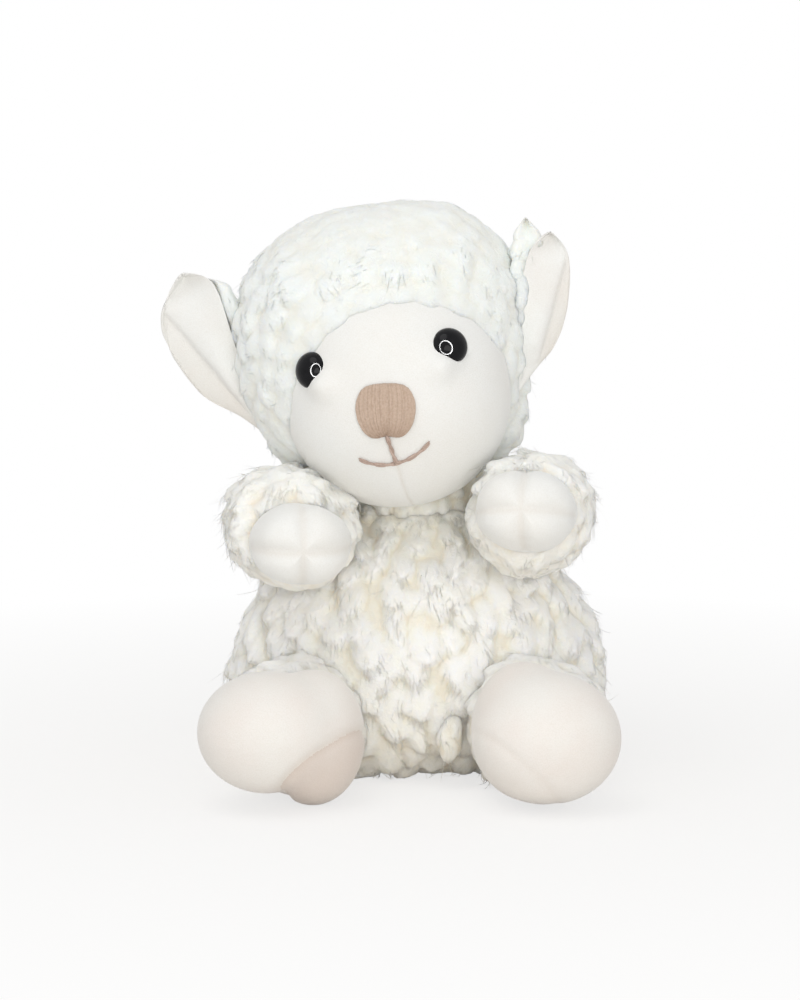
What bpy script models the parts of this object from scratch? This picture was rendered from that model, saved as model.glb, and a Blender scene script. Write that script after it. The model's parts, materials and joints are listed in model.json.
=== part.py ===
"""A sitting plush sheep: fleece body, hood and sleeves, velboa face, paws and feet, all stuffed.

Metres, +Z up. The sheep faces -Y, so its own left side is at +X. The origin is on the flat seat.
Each limb, the head, the ears and the tail hang from an empty that stands on its seam's pivot.
"""

import math

import bmesh
import bpy
from mathutils import Matrix, Vector
from mathutils.bvhtree import BVHTree

# Cloth, stitching and running clearance
GAP = 0.0003
FLEECE_WALL = 0.0035
VELBOA_WALL = 0.0016
SEAT_FLAT = 0.0005
CUT_OVERRUN = 0.02
MERGE_DISTANCE = 0.00001

# Fleece tufts: the share of the relief at the two columns of each of four rows in turn
TUFT_RELIEF = 0.0034
TUFT_SINK = 0.0017
TUFT_FADE = 0.008
TUFT_CLEARANCE = 0.011
TUFT_SHARES = [(1.0, 0.0), (0.3, 0.3), (0.0, 1.0), (0.3, 0.3)]

# Torso
BODY_WIDTH = 0.129
BODY_DEPTH = 0.100
BODY_HEIGHT = 0.092
BODY_OUTLINE_SHARES = [
    (0.00, 0.00),
    (0.00, 0.46),
    (0.03, 0.82),
    (0.18, 1.00),
    (0.40, 1.03),
    (0.60, 0.92),
    (0.78, 0.80, 0.70),
    (0.91, 0.63, 0.47),
    (1.00, 0.34, 0.26),
    (1.00, 0.00),
]

# Neck
NECK_BALL_DIAMETER = 0.034
NECK_SINK = 0.0020
NECK_PIVOT_HEIGHT = BODY_HEIGHT - NECK_SINK
HEAD_TURN_LIMIT_DEG = 15.0
HEAD_NOD_LIMIT_DEG = 6.0

# Head
HEAD_RISE = 0.0520
HEAD_CENTRE = (-0.0065, -0.006, NECK_PIVOT_HEIGHT + HEAD_RISE)
HEAD_ROLL_DEG = -10.3
HEAD_YAW_DEG = -6.5
CROWN_WIDTH = 0.099
CROWN_DEPTH = 0.092
CROWN_HEIGHT = 0.098
CROWN_LEAN = 0.0045

# Face
FACE_WIDTH = 0.075
FACE_DEPTH = 0.068
FACE_HEIGHT = 0.074
FACE_DROP = 0.0185
FACE_REACH = 0.019
CHIN_DEPTH = 0.0335
FACE_OUTLINE_SHARES = [
    (0.00, 0.00, 0.00),
    (0.045, 0.47, 0.50),
    (0.18, 0.82, 0.84),
    (0.36, 1.02, 1.02),
    (0.54, 1.04, 1.00),
    (0.71, 1.00, 0.91),
    (0.88, 0.79, 0.80),
    (0.97, 0.48, 0.53),
    (1.00, 0.00, 0.00),
]

# Eyes
EYE_DIAMETER = 0.012
EYE_DOME = 0.0046
EYE_SPACING = 0.046
EYE_RISE = -0.0008
EYE_DOME_STEPS = 7
EYE_SHANK_DIAMETER = 0.0040
EYE_SHANK_LENGTH = 0.0120
WASHER_DIAMETER = 0.0140
WASHER_THICKNESS = 0.0012
WASHER_SET_BACK = 0.0010

# Nose and mouth stitching
NOSE_WIDTH = 0.0190
NOSE_HEIGHT = 0.0176
NOSE_DROP = 0.0180
NOSE_PAD = 0.0015
NOSE_OUTLINE_SHARES = [
    (0.00, 0.93),
    (0.52, 1.00),
    (0.88, 0.93),
    (1.00, 0.55),
    (0.93, 0.05),
    (0.74, -0.50),
    (0.44, -0.88),
    (0.20, -1.00),
    (0.00, -0.84),
]
MOUTH_WIDTH = 0.0225
MOUTH_DROP = 0.0340
MOUTH_SMILE = 0.0033
MOUTH_THREAD = 0.0011
MOUTH_PAD = 0.0007
MOUTH_STEPS = 6

# Ears
EAR_LENGTH = 0.050
EAR_ROOT_RADIUS = 0.0055
EAR_HALF_WIDTH = 0.0128
EAR_DROP = 0.0165
EAR_FORWARD = 0.0060
EAR_SINK = 0.0065
EAR_CUP = 0.0060
EAR_CURL_SHARE = 0.5
EAR_STAND_OFF = 0.0015
EAR_LINING = 0.0034
EAR_FLEECE = 0.0042
EAR_FLEECE_RIM = 0.0025
EAR_OUTLINE_SHARES = [0.36, 0.62, 0.98, 1.08, 0.62]
EAR_COLUMNS = 2

# Arms, measured along the sleeve from the shoulder pivot
ARM_DIAMETER = 0.0375
ARM_ROOT_DIAMETER = 0.031
SLEEVE_LENGTH = 0.040
SHOULDER_DROP = 0.0095
SHOULDER_HEIGHT = BODY_HEIGHT - SHOULDER_DROP
SHOULDER_ANGLE_DEG = 22.0
SHOULDER_STAND_OFF = 0.0090
SHOULDER_SWING_IN_DEG = 6.0
SHOULDER_SWING_OUT_DEG = 45.0
PAW_WIDTH = 0.0325
PAW_HEIGHT = 0.0262
PAW_DEPTH = 0.030
PAW_REACH = 0.0400
SLEEVE_OUTLINE_SHARES = [
    (0.00, 0.00),
    (0.04, 0.55),
    (0.26, 0.93),
    (0.58, 1.02),
    (0.92, 0.90),
    (1.00, 0.00),
]

# Legs and feet
LEG_DIAMETER = 0.041
LEG_ROOT_DIAMETER = 0.038
LEG_LENGTH = 0.024
HIP_HEIGHT = 0.0215
HIP_ANGLE_DEG = 49.0
HIP_STAND_OFF = 0.0060
HIP_CREASE = 0.0008
HIP_LIFT_DEG = 20.0
TOE_WIDTH = 0.0440
TOE_DEPTH = 0.0420
TOE_HEIGHT = 0.0380
TOE_REACH = 0.0330
TOE_RISE = 0.0030
HEEL_WIDTH = 0.0330
HEEL_DEPTH = 0.0400
HEEL_HEIGHT = 0.0430
HEEL_REACH = 0.0230
SOLE_OFFSET = 0.0135
SOLE_TURN_DEG = 43.0
SOLE_FRONT_DEG = 17.0
LEG_OUTLINE_SHARES = [
    (0.00, 0.00),
    (0.05, 0.56),
    (0.32, 0.98),
    (0.66, 1.02),
    (0.93, 0.72),
    (1.00, 0.00),
]

# Tail
TAIL_LENGTH = 0.024
TAIL_DIAMETER = 0.017
TAIL_ROOT_DIAMETER = 0.014
TAIL_HEIGHT = 0.026
TAIL_DROOP_DEG = 20.0
TAIL_CREASE = 0.0013

# Pose of each side: how far each arm is swung in and lifted, and each leg, toe and heel moved
SIDES = {
    "left": {
        "side": 1,
        "ear_spread_deg": 17.0,
        "arm_in_deg": 8.0,
        "arm_lift_deg": 13.0,
        "leg_out_deg": 0.0,
        "toe_out": 0.0030,
        "heel_in": 0.0040,
    },
    "right": {
        "side": -1,
        "ear_spread_deg": 22.0,
        "arm_in_deg": 6.0,
        "arm_lift_deg": -1.5,
        "leg_out_deg": 3.0,
        "toe_out": 0.0060,
        "heel_in": 0.0075,
    },
}

# Mesh density
BODY_SEGMENTS = 8
HEAD_SEGMENTS = 10
HEAD_RINGS = 6
LIMB_SEGMENTS = 6
LIMB_RINGS = 4
SOCKET_SEGMENTS = 12
SOCKET_RINGS = 8
OUTLINE_STEPS = 2
EYE_SEGMENTS = 14


def clear_scene():
    for obj in list(bpy.data.objects):
        bpy.data.objects.remove(obj, do_unlink=True)


def new_collection(name):
    collection = bpy.data.collections.new(name)
    bpy.context.scene.collection.children.link(collection)
    return collection


def new_material(name, color, roughness, metallic=0.0):
    material = bpy.data.materials.new(name)
    material.use_nodes = True
    shader = material.node_tree.nodes["Principled BSDF"]
    shader.inputs["Base Color"].default_value = (*color, 1.0)
    shader.inputs["Roughness"].default_value = roughness
    shader.inputs["Metallic"].default_value = metallic
    return material


clear_scene()
PARTS = new_collection("plush_sheep")
CUTTERS = new_collection("plush_sheep_cutters")
FLEECE = new_material("cream_fleece", (0.86, 0.80, 0.70), 0.95)
VELBOA = new_material("cream_velboa", (0.90, 0.84, 0.77), 0.85)
STUFFING = new_material("polyester_stuffing", (0.93, 0.93, 0.92), 0.95)
GLOSS_BLACK = new_material("black_gloss_plastic", (0.01, 0.01, 0.01), 0.08)
WHITE_PLASTIC = new_material("white_plastic", (0.85, 0.85, 0.83), 0.45)
THREAD = new_material("brown_thread", (0.42, 0.27, 0.19), 0.60)


def place(obj, collection, parent=None, material=None):
    """Link an object, hang it from its parent and hide it if it is only a cutter."""
    collection.objects.link(obj)
    obj.parent = parent
    if material:
        obj.data.materials.append(material)
    if collection is CUTTERS:
        obj.hide_render = True
        obj.display_type = "WIRE"
    return obj


def new_pivot(name, matrix, parent=None):
    empty = bpy.data.objects.new(name, None)
    PARTS.objects.link(empty)
    empty.parent = parent
    empty.matrix_basis = matrix
    return empty


def evaluated_mesh(obj):
    bpy.context.view_layer.update()
    return bpy.data.meshes.new_from_object(obj.evaluated_get(bpy.context.evaluated_depsgraph_get()))


# Soft forms


def ball_outline(rings):
    angles = [math.pi * k / rings for k in range(rings + 1)]
    return [((1 - math.cos(a)) / 2, math.sin(a)) for a in angles]


class Form:
    """A soft shape: rings of (height, width) or (height, width, depth) shares stacked to a size."""

    def __init__(self, name, outline_shares, size, segments, parent, floor=None, centre=(0, 0, 0)):
        self.name = name
        self.outline_shares = outline_shares
        self.size = size
        self.segments = segments
        self.parent = parent
        self.centre = list(centre)
        if floor is not None:
            self.centre[2] = floor + size[2] / 2

    def skin(self, name, offset=0.0, collection=None, material=None, parent=None):
        """The smooth outer surface, moved out by offset, as its own object."""
        mesh = stacked_rings(name, self.outline_shares, self.segments)
        obj = bpy.data.objects.new(name, mesh)
        place(obj, collection or CUTTERS, parent or self.parent, material)
        add_smoothing(obj)
        fit_cage(obj, self.size, self.centre)
        if offset:
            move = obj.modifiers.new("offset", "DISPLACE")
            move.mid_level = 0.0
            move.strength = offset
        return obj

    def core(self, name, inset, collection=None, material=None):
        """A plain solid with its corners inset below the skin, for cloth insides and stuffing."""
        mesh = stacked_rings(name, self.outline_shares, self.segments + 1)
        obj = place(bpy.data.objects.new(name, mesh), collection or CUTTERS, self.parent, material)
        smooth = add_smoothing(obj)
        fit_cage(obj, [extent - 2 * inset for extent in self.size], self.centre)
        smoothed = evaluated_mesh(obj)
        obj.modifiers.remove(smooth)
        for vert in mesh.vertices:
            vert.co = smoothed.vertices[vert.index].co
        bpy.data.meshes.remove(smoothed)
        bm = bmesh.new()
        bm.from_mesh(mesh)
        bmesh.ops.triangulate(bm, faces=bm.faces, quad_method="FIXED")
        bm.to_mesh(mesh)
        bm.free()
        return obj


def add_smoothing(obj):
    smooth = obj.modifiers.new("smooth", "SUBSURF")
    smooth.levels = 1
    smooth.render_levels = 1
    return smooth


def stacked_rings(name, outline_shares, segments):
    """A ball whose rings are moved to the heights, widths and depths of an outline."""
    bm = bmesh.new()
    ring_count = len(outline_shares) - 1
    bmesh.ops.create_uvsphere(bm, u_segments=segments, v_segments=ring_count, radius=1.0)
    for vert in bm.verts:
        ring = round(math.acos(max(-1.0, min(1.0, -vert.co.z))) / math.pi * ring_count)
        height, width, *depth = outline_shares[ring]
        turn = Vector((vert.co.x, vert.co.y))
        turn = turn.normalized() if 0 < ring < ring_count else Vector((0, 0))
        vert.co = (turn.x * width / 2, turn.y * (depth[0] if depth else width) / 2, height)
    mesh = bpy.data.meshes.new(name)
    bm.to_mesh(mesh)
    bm.free()
    for polygon in mesh.polygons:
        polygon.use_smooth = True
    return mesh


def fit_cage(obj, size, centre):
    """Scale and shift a cage until its evaluated surface has the size and the centre."""
    smoothed = evaluated_mesh(obj)
    low = [min(v.co[k] for v in smoothed.vertices) for k in range(3)]
    high = [max(v.co[k] for v in smoothed.vertices) for k in range(3)]
    bpy.data.meshes.remove(smoothed)
    scale = [size[k] / (high[k] - low[k]) for k in range(3)]
    middle = [(high[k] + low[k]) / 2 for k in range(3)]
    for vert in obj.data.vertices:
        vert.co = [(vert.co[k] - middle[k]) * scale[k] + centre[k] for k in range(3)]


def cloth_shell(form, name, wall, material):
    """A cover of cloth: the form's smooth skin around a hollow."""
    obj = form.skin(name, 0.0, PARTS, material)
    combine(obj, "DIFFERENCE", form.core(name + "_inside", wall))
    return obj


def raise_tufts(cover, form, keep_off):
    """Give a cover its tufts of fleece, which die out around the (centre, radius) balls to keep off.

    The centres are in the form's own frame. The seat and the first ring above it stay smooth.
    """
    model = form.skin(cover.name + "_tufted")
    split = add_smoothing(model)
    split.subdivision_type = "SIMPLE"
    mesh = evaluated_mesh(model)
    bpy.data.objects.remove(model)
    heights = sorted({round(v.co.z / MERGE_DISTANCE) for v in mesh.vertices})
    row_of = {height: row for row, height in enumerate(heights)}
    columns = form.segments * 4
    middle = Vector(form.centre)
    moves = []
    for vert in mesh.vertices:
        row = row_of[round(vert.co.z / MERGE_DISTANCE)]
        across, along = ((vert.co[k] - middle[k]) / form.size[k] for k in (0, 1))
        column = round(math.atan2(along, across) / math.tau * columns)
        share = TUFT_SHARES[row % len(TUFT_SHARES)][column % 2]
        room = min((vert.co - Vector(centre)).length - radius for centre, radius in keep_off)
        room = min(room, vert.co.z - heights[len(TUFT_SHARES)] * MERGE_DISTANCE)
        fade = max(0.0, min(1.0, room / TUFT_FADE))
        moves.append(vert.normal * fade * (TUFT_RELIEF * share - TUFT_SINK))
    for vert, move in zip(mesh.vertices, moves):
        vert.co += move
    cover.modifiers.remove(cover.modifiers["smooth"])
    mesh.materials.clear()
    mesh.materials.append(cover.data.materials[0])
    cover.data = mesh


def combine(obj, operation, *others):
    for other in others:
        cut = obj.modifiers.new(operation.lower() + "_" + other.name, "BOOLEAN")
        cut.operation = operation
        cut.solver = "EXACT"
        cut.object = other


def surface_point(skin, start, direction):
    """Where a ray in the skin's own frame meets it, with the outward normal there."""
    mesh = evaluated_mesh(skin)
    tree = BVHTree.FromPolygons(
        [v.co for v in mesh.vertices], [tuple(p.vertices) for p in mesh.polygons]
    )
    point, normal, _, _ = tree.ray_cast(Vector(start), Vector(direction).normalized())
    bpy.data.meshes.remove(mesh)
    return point, normal


def root_reach(skin):
    """Greatest distance from the pivot to the part of a limb's skin that lies behind the pivot."""
    mesh = evaluated_mesh(skin)
    reach = max(v.co.length for v in mesh.vertices if v.co.z <= 0)
    bpy.data.meshes.remove(mesh)
    return reach


def union(first, *others):
    combine(first, "UNION", *others)
    return first


def limb_root(label, form, torso, torso_pieces, crease, axis="Z", swings=()):
    """Sink a limb's ball-shaped root in the torso and return the room that the torso needs beside it.

    The room is a crease wide, and also holds the torso as the limb sees it at each end of its swing.
    """
    pivot = form.parent
    reach = root_reach(form.skin(f"reach_{label}"))
    socket = ball(f"socket_{label}", reach, pivot, clear=GAP)
    for piece in torso_pieces:
        combine(piece, "DIFFERENCE", socket)
    room = torso.skin(f"torso_room_{label}", crease)
    hub = Matrix.Translation(pivot.matrix_world.translation)
    for number, swing_deg in enumerate(swings, 1):
        swung = torso.skin(f"torso_swing_{number}_{label}", crease)
        turn = Matrix.Rotation(math.radians(-swing_deg), 4, axis)
        swung.matrix_basis = hub @ turn @ hub.inverted()
        union(room, swung)
    combine(room, "DIFFERENCE", ball(f"root_{label}", reach, pivot))
    return room


def along_limb(pivot, radius, reaches):
    """Balls along a limb, in the world, that the tufts of its neighbours keep off."""
    bpy.context.view_layer.update()
    return [(pivot.matrix_world @ Vector((0, 0, reach)), radius + TUFT_CLEARANCE) for reach in reaches]


# Plain cutters


def ball(name, radius, parent, collection=None, material=None, clear=0.0):
    """A ball, or with clear its hollow: all flats lie that far outside it, and face its corners."""
    half_step = math.pi / SOCKET_SEGMENTS
    turn = Matrix()
    if clear:
        radius = (radius + clear) / math.cos(half_step) / math.cos(math.pi / (2 * SOCKET_RINGS))
        turn = Matrix.Rotation(half_step, 4, "Z")
    bm = bmesh.new()
    bmesh.ops.create_uvsphere(
        bm, u_segments=SOCKET_SEGMENTS, v_segments=SOCKET_RINGS, radius=radius, matrix=turn
    )
    mesh = bpy.data.meshes.new(name)
    bm.to_mesh(mesh)
    bm.free()
    for polygon in mesh.polygons:
        polygon.use_smooth = True
    return place(bpy.data.objects.new(name, mesh), collection or CUTTERS, parent, material)


def box_cutter(name, low, high, parent=None, matrix=None):
    bm = bmesh.new()
    bmesh.ops.create_cube(bm, size=1.0)
    for vert in bm.verts:
        vert.co = [low[k] if vert.co[k] < 0 else high[k] for k in range(3)]
    mesh = bpy.data.meshes.new(name)
    bm.to_mesh(mesh)
    bm.free()
    box = place(bpy.data.objects.new(name, mesh), CUTTERS, parent)
    if matrix:
        box.matrix_basis = matrix
    return box


def rod_cutter(name, radius, low, high, parent, matrix):
    """A cylinder about the local Z axis from low to high."""
    bm = bmesh.new()
    bmesh.ops.create_cone(
        bm, cap_ends=True, segments=EYE_SEGMENTS, radius1=radius, radius2=radius, depth=high - low
    )
    bmesh.ops.translate(bm, verts=bm.verts, vec=Vector((0, 0, (low + high) / 2)))
    mesh = bpy.data.meshes.new(name)
    bm.to_mesh(mesh)
    bm.free()
    rod = place(bpy.data.objects.new(name, mesh), CUTTERS, parent)
    rod.matrix_basis = matrix
    return rod


def turned(name, profile, collection, parent, matrix, material=None, steps=EYE_SEGMENTS):
    """A solid turned about local Z from (radius, height) points that run from the top axis down."""
    mesh = bpy.data.meshes.new(name)
    points = profile[:-1] if profile[0] == profile[-1] else profile
    edges = [(k, (k + 1) % len(points)) for k in range(len(profile) - 1)]
    mesh.from_pydata([(r, 0, z) for r, z in points], edges, [])
    obj = place(bpy.data.objects.new(name, mesh), collection, parent, material)
    obj.matrix_basis = matrix
    screw = obj.modifiers.new("turn", "SCREW")
    screw.axis = "Z"
    screw.steps = steps
    screw.render_steps = steps
    screw.use_merge_vertices = True
    screw.merge_threshold = MERGE_DISTANCE
    return obj


def facing(point, direction, up=(0, 0, 1)):
    """A frame at point whose Z axis runs along direction."""
    z_axis = Vector(direction).normalized()
    x_axis = Vector(up).cross(z_axis).normalized()
    y_axis = z_axis.cross(x_axis)
    turn = Matrix((x_axis, y_axis, z_axis)).transposed()
    return Matrix.Translation(point) @ turn.to_4x4()


FLOOR = box_cutter(
    "below_the_seat",
    (-BODY_WIDTH, -BODY_WIDTH, -CUT_OVERRUN),
    (BODY_WIDTH, BODY_WIDTH, 0),
)


# Torso


def build_torso():
    form = Form(
        "torso",
        BODY_OUTLINE_SHARES,
        (BODY_WIDTH, BODY_DEPTH, BODY_HEIGHT + SEAT_FLAT),
        BODY_SEGMENTS,
        None,
        floor=-SEAT_FLAT,
    )
    cover = cloth_shell(form, "body_cover", FLEECE_WALL, FLEECE)
    filling = form.core("body_stuffing", FLEECE_WALL + GAP, PARTS, STUFFING)
    combine(cover, "DIFFERENCE", FLOOR)
    return form, [cover, filling]


def build_neck(torso_pieces):
    pivot = new_pivot("neck_pivot", Matrix.Translation((0, 0, NECK_PIVOT_HEIGHT)))
    radius = NECK_BALL_DIAMETER / 2
    ball("neck_stuffing", radius, pivot, PARTS, STUFFING)
    socket = ball("neck_socket", radius, pivot, clear=GAP)
    for piece in torso_pieces:
        combine(piece, "DIFFERENCE", socket)
    return pivot, socket


# Head


def build_head(neck_pivot, neck_socket):
    centre = Vector(HEAD_CENTRE) - Vector((0, 0, NECK_PIVOT_HEIGHT))
    roll = Matrix.Rotation(math.radians(HEAD_ROLL_DEG), 4, "Y")
    yaw = Matrix.Rotation(math.radians(HEAD_YAW_DEG), 4, "Z")
    head = new_pivot("head_frame", Matrix.Translation(centre) @ roll @ yaw, neck_pivot)
    crown = Form(
        "crown",
        ball_outline(HEAD_RINGS),
        (CROWN_WIDTH, CROWN_DEPTH, CROWN_HEIGHT),
        HEAD_SEGMENTS,
        head,
        centre=(-CROWN_LEAN, 0, 0),
    )
    face = Form(
        "face",
        FACE_OUTLINE_SHARES,
        (FACE_WIDTH, FACE_DEPTH, FACE_HEIGHT),
        HEAD_SEGMENTS,
        head,
        floor=-FACE_DROP - CHIN_DEPTH,
        centre=(0, -FACE_REACH, 0),
    )
    hood = cloth_shell(crown, "head_hood", FLEECE_WALL, FLEECE)
    combine(hood, "DIFFERENCE", face.skin("face_clearance", GAP), neck_socket)
    panel = cloth_shell(face, "face_panel", VELBOA_WALL, VELBOA)
    combine(panel, "DIFFERENCE", crown.core("hood_inside", FLEECE_WALL), neck_socket)
    filling = crown.core("head_stuffing", FLEECE_WALL + GAP, PARTS, STUFFING)
    combine(filling, "UNION", face.core("face_filling", VELBOA_WALL + GAP))
    combine(filling, "DIFFERENCE", neck_socket)
    return head, crown, face, hood, panel, filling


def head_room(label, side, head, neck_pivot, forms):
    """The space that the head takes up when it nods, straight and turned towards one side."""
    skins = []
    bow = Matrix.Rotation(math.radians(HEAD_NOD_LIMIT_DEG), 4, "X")
    for name, turn_deg in (("straight", 0), ("turned", side * HEAD_TURN_LIMIT_DEG)):
        turn = Matrix.Rotation(math.radians(turn_deg), 4, "Z")
        neck = new_pivot(f"neck_{name}_{label}", neck_pivot.matrix_basis @ turn @ bow)
        frame = new_pivot(f"head_{name}_{label}", head.matrix_basis, neck)
        for form in forms:
            skins.append(form.skin(f"{form.name}_{name}_{label}", GAP, parent=frame))
    return union(*skins)


def build_eye(label, side, head, face, hood, panel, filling):
    start = (side * EYE_SPACING / 2, -(FACE_REACH + FACE_DEPTH), EYE_RISE)
    point, normal = surface_point(face.skin(f"eye_probe_{label}"), start, (0, 1, 0))
    frame = facing(point, normal)
    radius = EYE_DIAMETER / 2
    shank = EYE_SHANK_DIAMETER / 2
    turns = [math.pi / 2 * k / EYE_DOME_STEPS for k in range(EYE_DOME_STEPS + 1)]
    dome = [(radius * math.sin(a), GAP + EYE_DOME * math.cos(a)) for a in turns]
    profile = dome + [(shank, GAP), (shank, -EYE_SHANK_LENGTH), (0, -EYE_SHANK_LENGTH)]
    turned(f"eye_{label}", profile, PARTS, head, frame, GLOSS_BLACK)

    low = -(VELBOA_WALL + GAP + WASHER_SET_BACK + WASHER_THICKNESS)
    high = low + WASHER_THICKNESS
    rim = WASHER_DIAMETER / 2
    hole = shank + GAP
    ring = [(hole, high), (rim, high), (rim, low), (hole, low), (hole, high)]
    turned(f"eye_washer_{label}", ring, PARTS, head, frame, WHITE_PLASTIC)

    bore = rod_cutter(f"shank_bore_{label}", hole, -(EYE_SHANK_LENGTH + GAP), CUT_OVERRUN, head, frame)
    seat = rod_cutter(f"washer_seat_{label}", rim + GAP, low - GAP, EYE_DOME, head, frame)
    recess = rod_cutter(f"washer_recess_{label}", rim + GAP, low - GAP, -VELBOA_WALL, head, frame)
    brow = rod_cutter(f"eye_clearance_{label}", radius + GAP, 0, CUT_OVERRUN, head, frame)
    combine(panel, "DIFFERENCE", bore, recess, brow)
    combine(filling, "DIFFERENCE", bore, seat)
    combine(hood, "DIFFERENCE", brow)


def outline_prism(name, points, collection, parent, material=None, smooth=True):
    """A flat outline in the face's own X and Z, drawn out from its middle to past its front."""
    curve = bpy.data.curves.new(name + "_outline", "CURVE")
    curve.dimensions = "2D"
    curve.fill_mode = "BOTH"
    curve.extrude = FACE_DEPTH / 2
    curve.resolution_u = OUTLINE_STEPS
    spline = curve.splines.new("BEZIER" if smooth else "POLY")
    if smooth:
        spline.bezier_points.add(len(points) - 1)
        for knot, (x, z) in zip(spline.bezier_points, points):
            knot.co = (x, z, 0)
            knot.handle_left_type = "AUTO"
            knot.handle_right_type = "AUTO"
    else:
        spline.points.add(len(points) - 1)
        for knot, (x, z) in zip(spline.points, points):
            knot.co = (x, z, 0, 1)
    spline.use_cyclic_u = True
    guide = place(bpy.data.objects.new(name + "_guide", curve), CUTTERS)
    mesh = evaluated_mesh(guide)
    bpy.data.objects.remove(guide)
    bm = bmesh.new()
    bm.from_mesh(mesh)
    bmesh.ops.remove_doubles(bm, verts=bm.verts, dist=MERGE_DISTANCE)
    bmesh.ops.recalc_face_normals(bm, faces=bm.faces)
    bm.to_mesh(mesh)
    bm.free()
    mesh.name = name
    prism = place(bpy.data.objects.new(name, mesh), collection, parent, material)
    middle = Matrix.Translation((0, -(FACE_REACH + FACE_DEPTH / 2), 0))
    prism.matrix_basis = middle @ Matrix.Rotation(math.pi / 2, 4, "X")
    return prism


def build_stitching(head, face):
    half = NOSE_WIDTH / 2
    tall = NOSE_HEIGHT / 2
    right = [(x * half, z * tall - NOSE_DROP) for x, z in NOSE_OUTLINE_SHARES]
    left = [(-x, z) for x, z in reversed(right[1:-1])]
    nose = outline_prism("nose_stitching", right + left, PARTS, head, THREAD)
    bed = face.skin("stitch_bed", GAP)
    combine(nose, "INTERSECT", face.skin("nose_top", GAP + NOSE_PAD))
    combine(nose, "DIFFERENCE", bed)

    thread = MOUTH_THREAD / 2
    reach = MOUTH_WIDTH / 2
    lip_start = right[-1][1] - 2 * GAP

    def lip(share, rise):
        return (share * reach, MOUTH_SMILE * share * share - MOUTH_DROP + rise)

    shares = [k / MOUTH_STEPS for k in range(-MOUTH_STEPS, MOUTH_STEPS + 1)]
    lower = [lip(s, -thread) for s in shares]
    upper_right = [lip(s, thread) for s in reversed(shares) if s > 0]
    upper_left = [lip(s, thread) for s in reversed(shares) if s < 0]
    joint = thread - MOUTH_DROP
    philtrum = [(thread, joint), (thread, lip_start), (-thread, lip_start), (-thread, joint)]
    outline = lower + upper_right + philtrum + upper_left
    mouth = outline_prism("mouth_stitching", outline, PARTS, head, THREAD, smooth=False)
    combine(mouth, "INTERSECT", face.skin("mouth_top", GAP + MOUTH_PAD))
    combine(mouth, "DIFFERENCE", bed)


# Ears


def ear_leaf(name, side, rim, low, high, parent, material):
    """A cupped leaf in the ear's own frame: Z towards the tip, X towards the head's outside, -Y front."""
    rows = len(EAR_OUTLINE_SHARES)
    bm = bmesh.new()
    bmesh.ops.create_grid(bm, x_segments=EAR_COLUMNS, y_segments=rows - 1, size=1.0)
    for vert in bm.verts:
        across = vert.co.x
        along = (vert.co.y + 1) / 2
        row = round(along * (rows - 1))
        width = EAR_HALF_WIDTH * EAR_OUTLINE_SHARES[row]
        inner_rim = rim if across < 0 else 0
        x = across * (width + inner_rim)
        cup = EAR_CUP * along * (across * across - EAR_CURL_SHARE)
        vert.co = (side * x, -cup, along * (EAR_LENGTH + EAR_ROOT_RADIUS) - EAR_ROOT_RADIUS)
    bmesh.ops.recalc_face_normals(bm, faces=bm.faces)
    bm.normal_update()
    middle = sum((f.normal.y for f in bm.faces)) / len(bm.faces)
    if middle > 0:
        bmesh.ops.reverse_faces(bm, faces=bm.faces)
    mesh = bpy.data.meshes.new(name)
    bm.to_mesh(mesh)
    bm.free()
    for polygon in mesh.polygons:
        polygon.use_smooth = True
    leaf = place(bpy.data.objects.new(name, mesh), PARTS, parent, material)
    lift = leaf.modifiers.new("lift", "DISPLACE")
    lift.mid_level = 0.0
    lift.strength = low
    thicken = leaf.modifiers.new("cloth", "SOLIDIFY")
    thicken.thickness = high - low
    thicken.offset = 1.0
    add_smoothing(leaf)
    return leaf


def build_ear(label, pose, head, crown, face, head_pieces):
    side = pose["side"]
    start = (-CROWN_LEAN, -EAR_FORWARD, -EAR_DROP)
    point, _ = surface_point(crown.skin(f"ear_probe_{label}"), start, (side, 0, 0))
    root = point + Vector((side * (EAR_ROOT_RADIUS - EAR_SINK), 0, 0))
    tilt = Matrix.Rotation(math.radians(side * pose["ear_spread_deg"]), 4, "Y")
    pivot = new_pivot(f"ear_{label}_pivot", Matrix.Translation(root) @ tilt, head)
    root_ball = ball(f"ear_root_{label}", EAR_ROOT_RADIUS, pivot)
    head_clearance = crown.skin(f"head_clearance_{label}", EAR_STAND_OFF)
    combine(head_clearance, "DIFFERENCE", root_ball)
    lining = ear_leaf(f"ear_lining_{label}", side, 0, GAP / 2, GAP / 2 + EAR_LINING, pivot, VELBOA)
    back = ear_leaf(
        f"ear_back_{label}", side, EAR_FLEECE_RIM, -(GAP / 2 + EAR_FLEECE), -GAP / 2, pivot, FLEECE
    )
    for piece in (lining, back):
        combine(piece, "DIFFERENCE", head_clearance, face.skin(f"face_clearance_{label}", EAR_STAND_OFF))
    socket = ball(f"ear_socket_{label}", EAR_ROOT_RADIUS, pivot, clear=GAP)
    for piece in head_pieces:
        combine(piece, "DIFFERENCE", socket)
    return along_limb(pivot, EAR_HALF_WIDTH, (0, EAR_LENGTH / 4, EAR_LENGTH / 2))


# Arms


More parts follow.
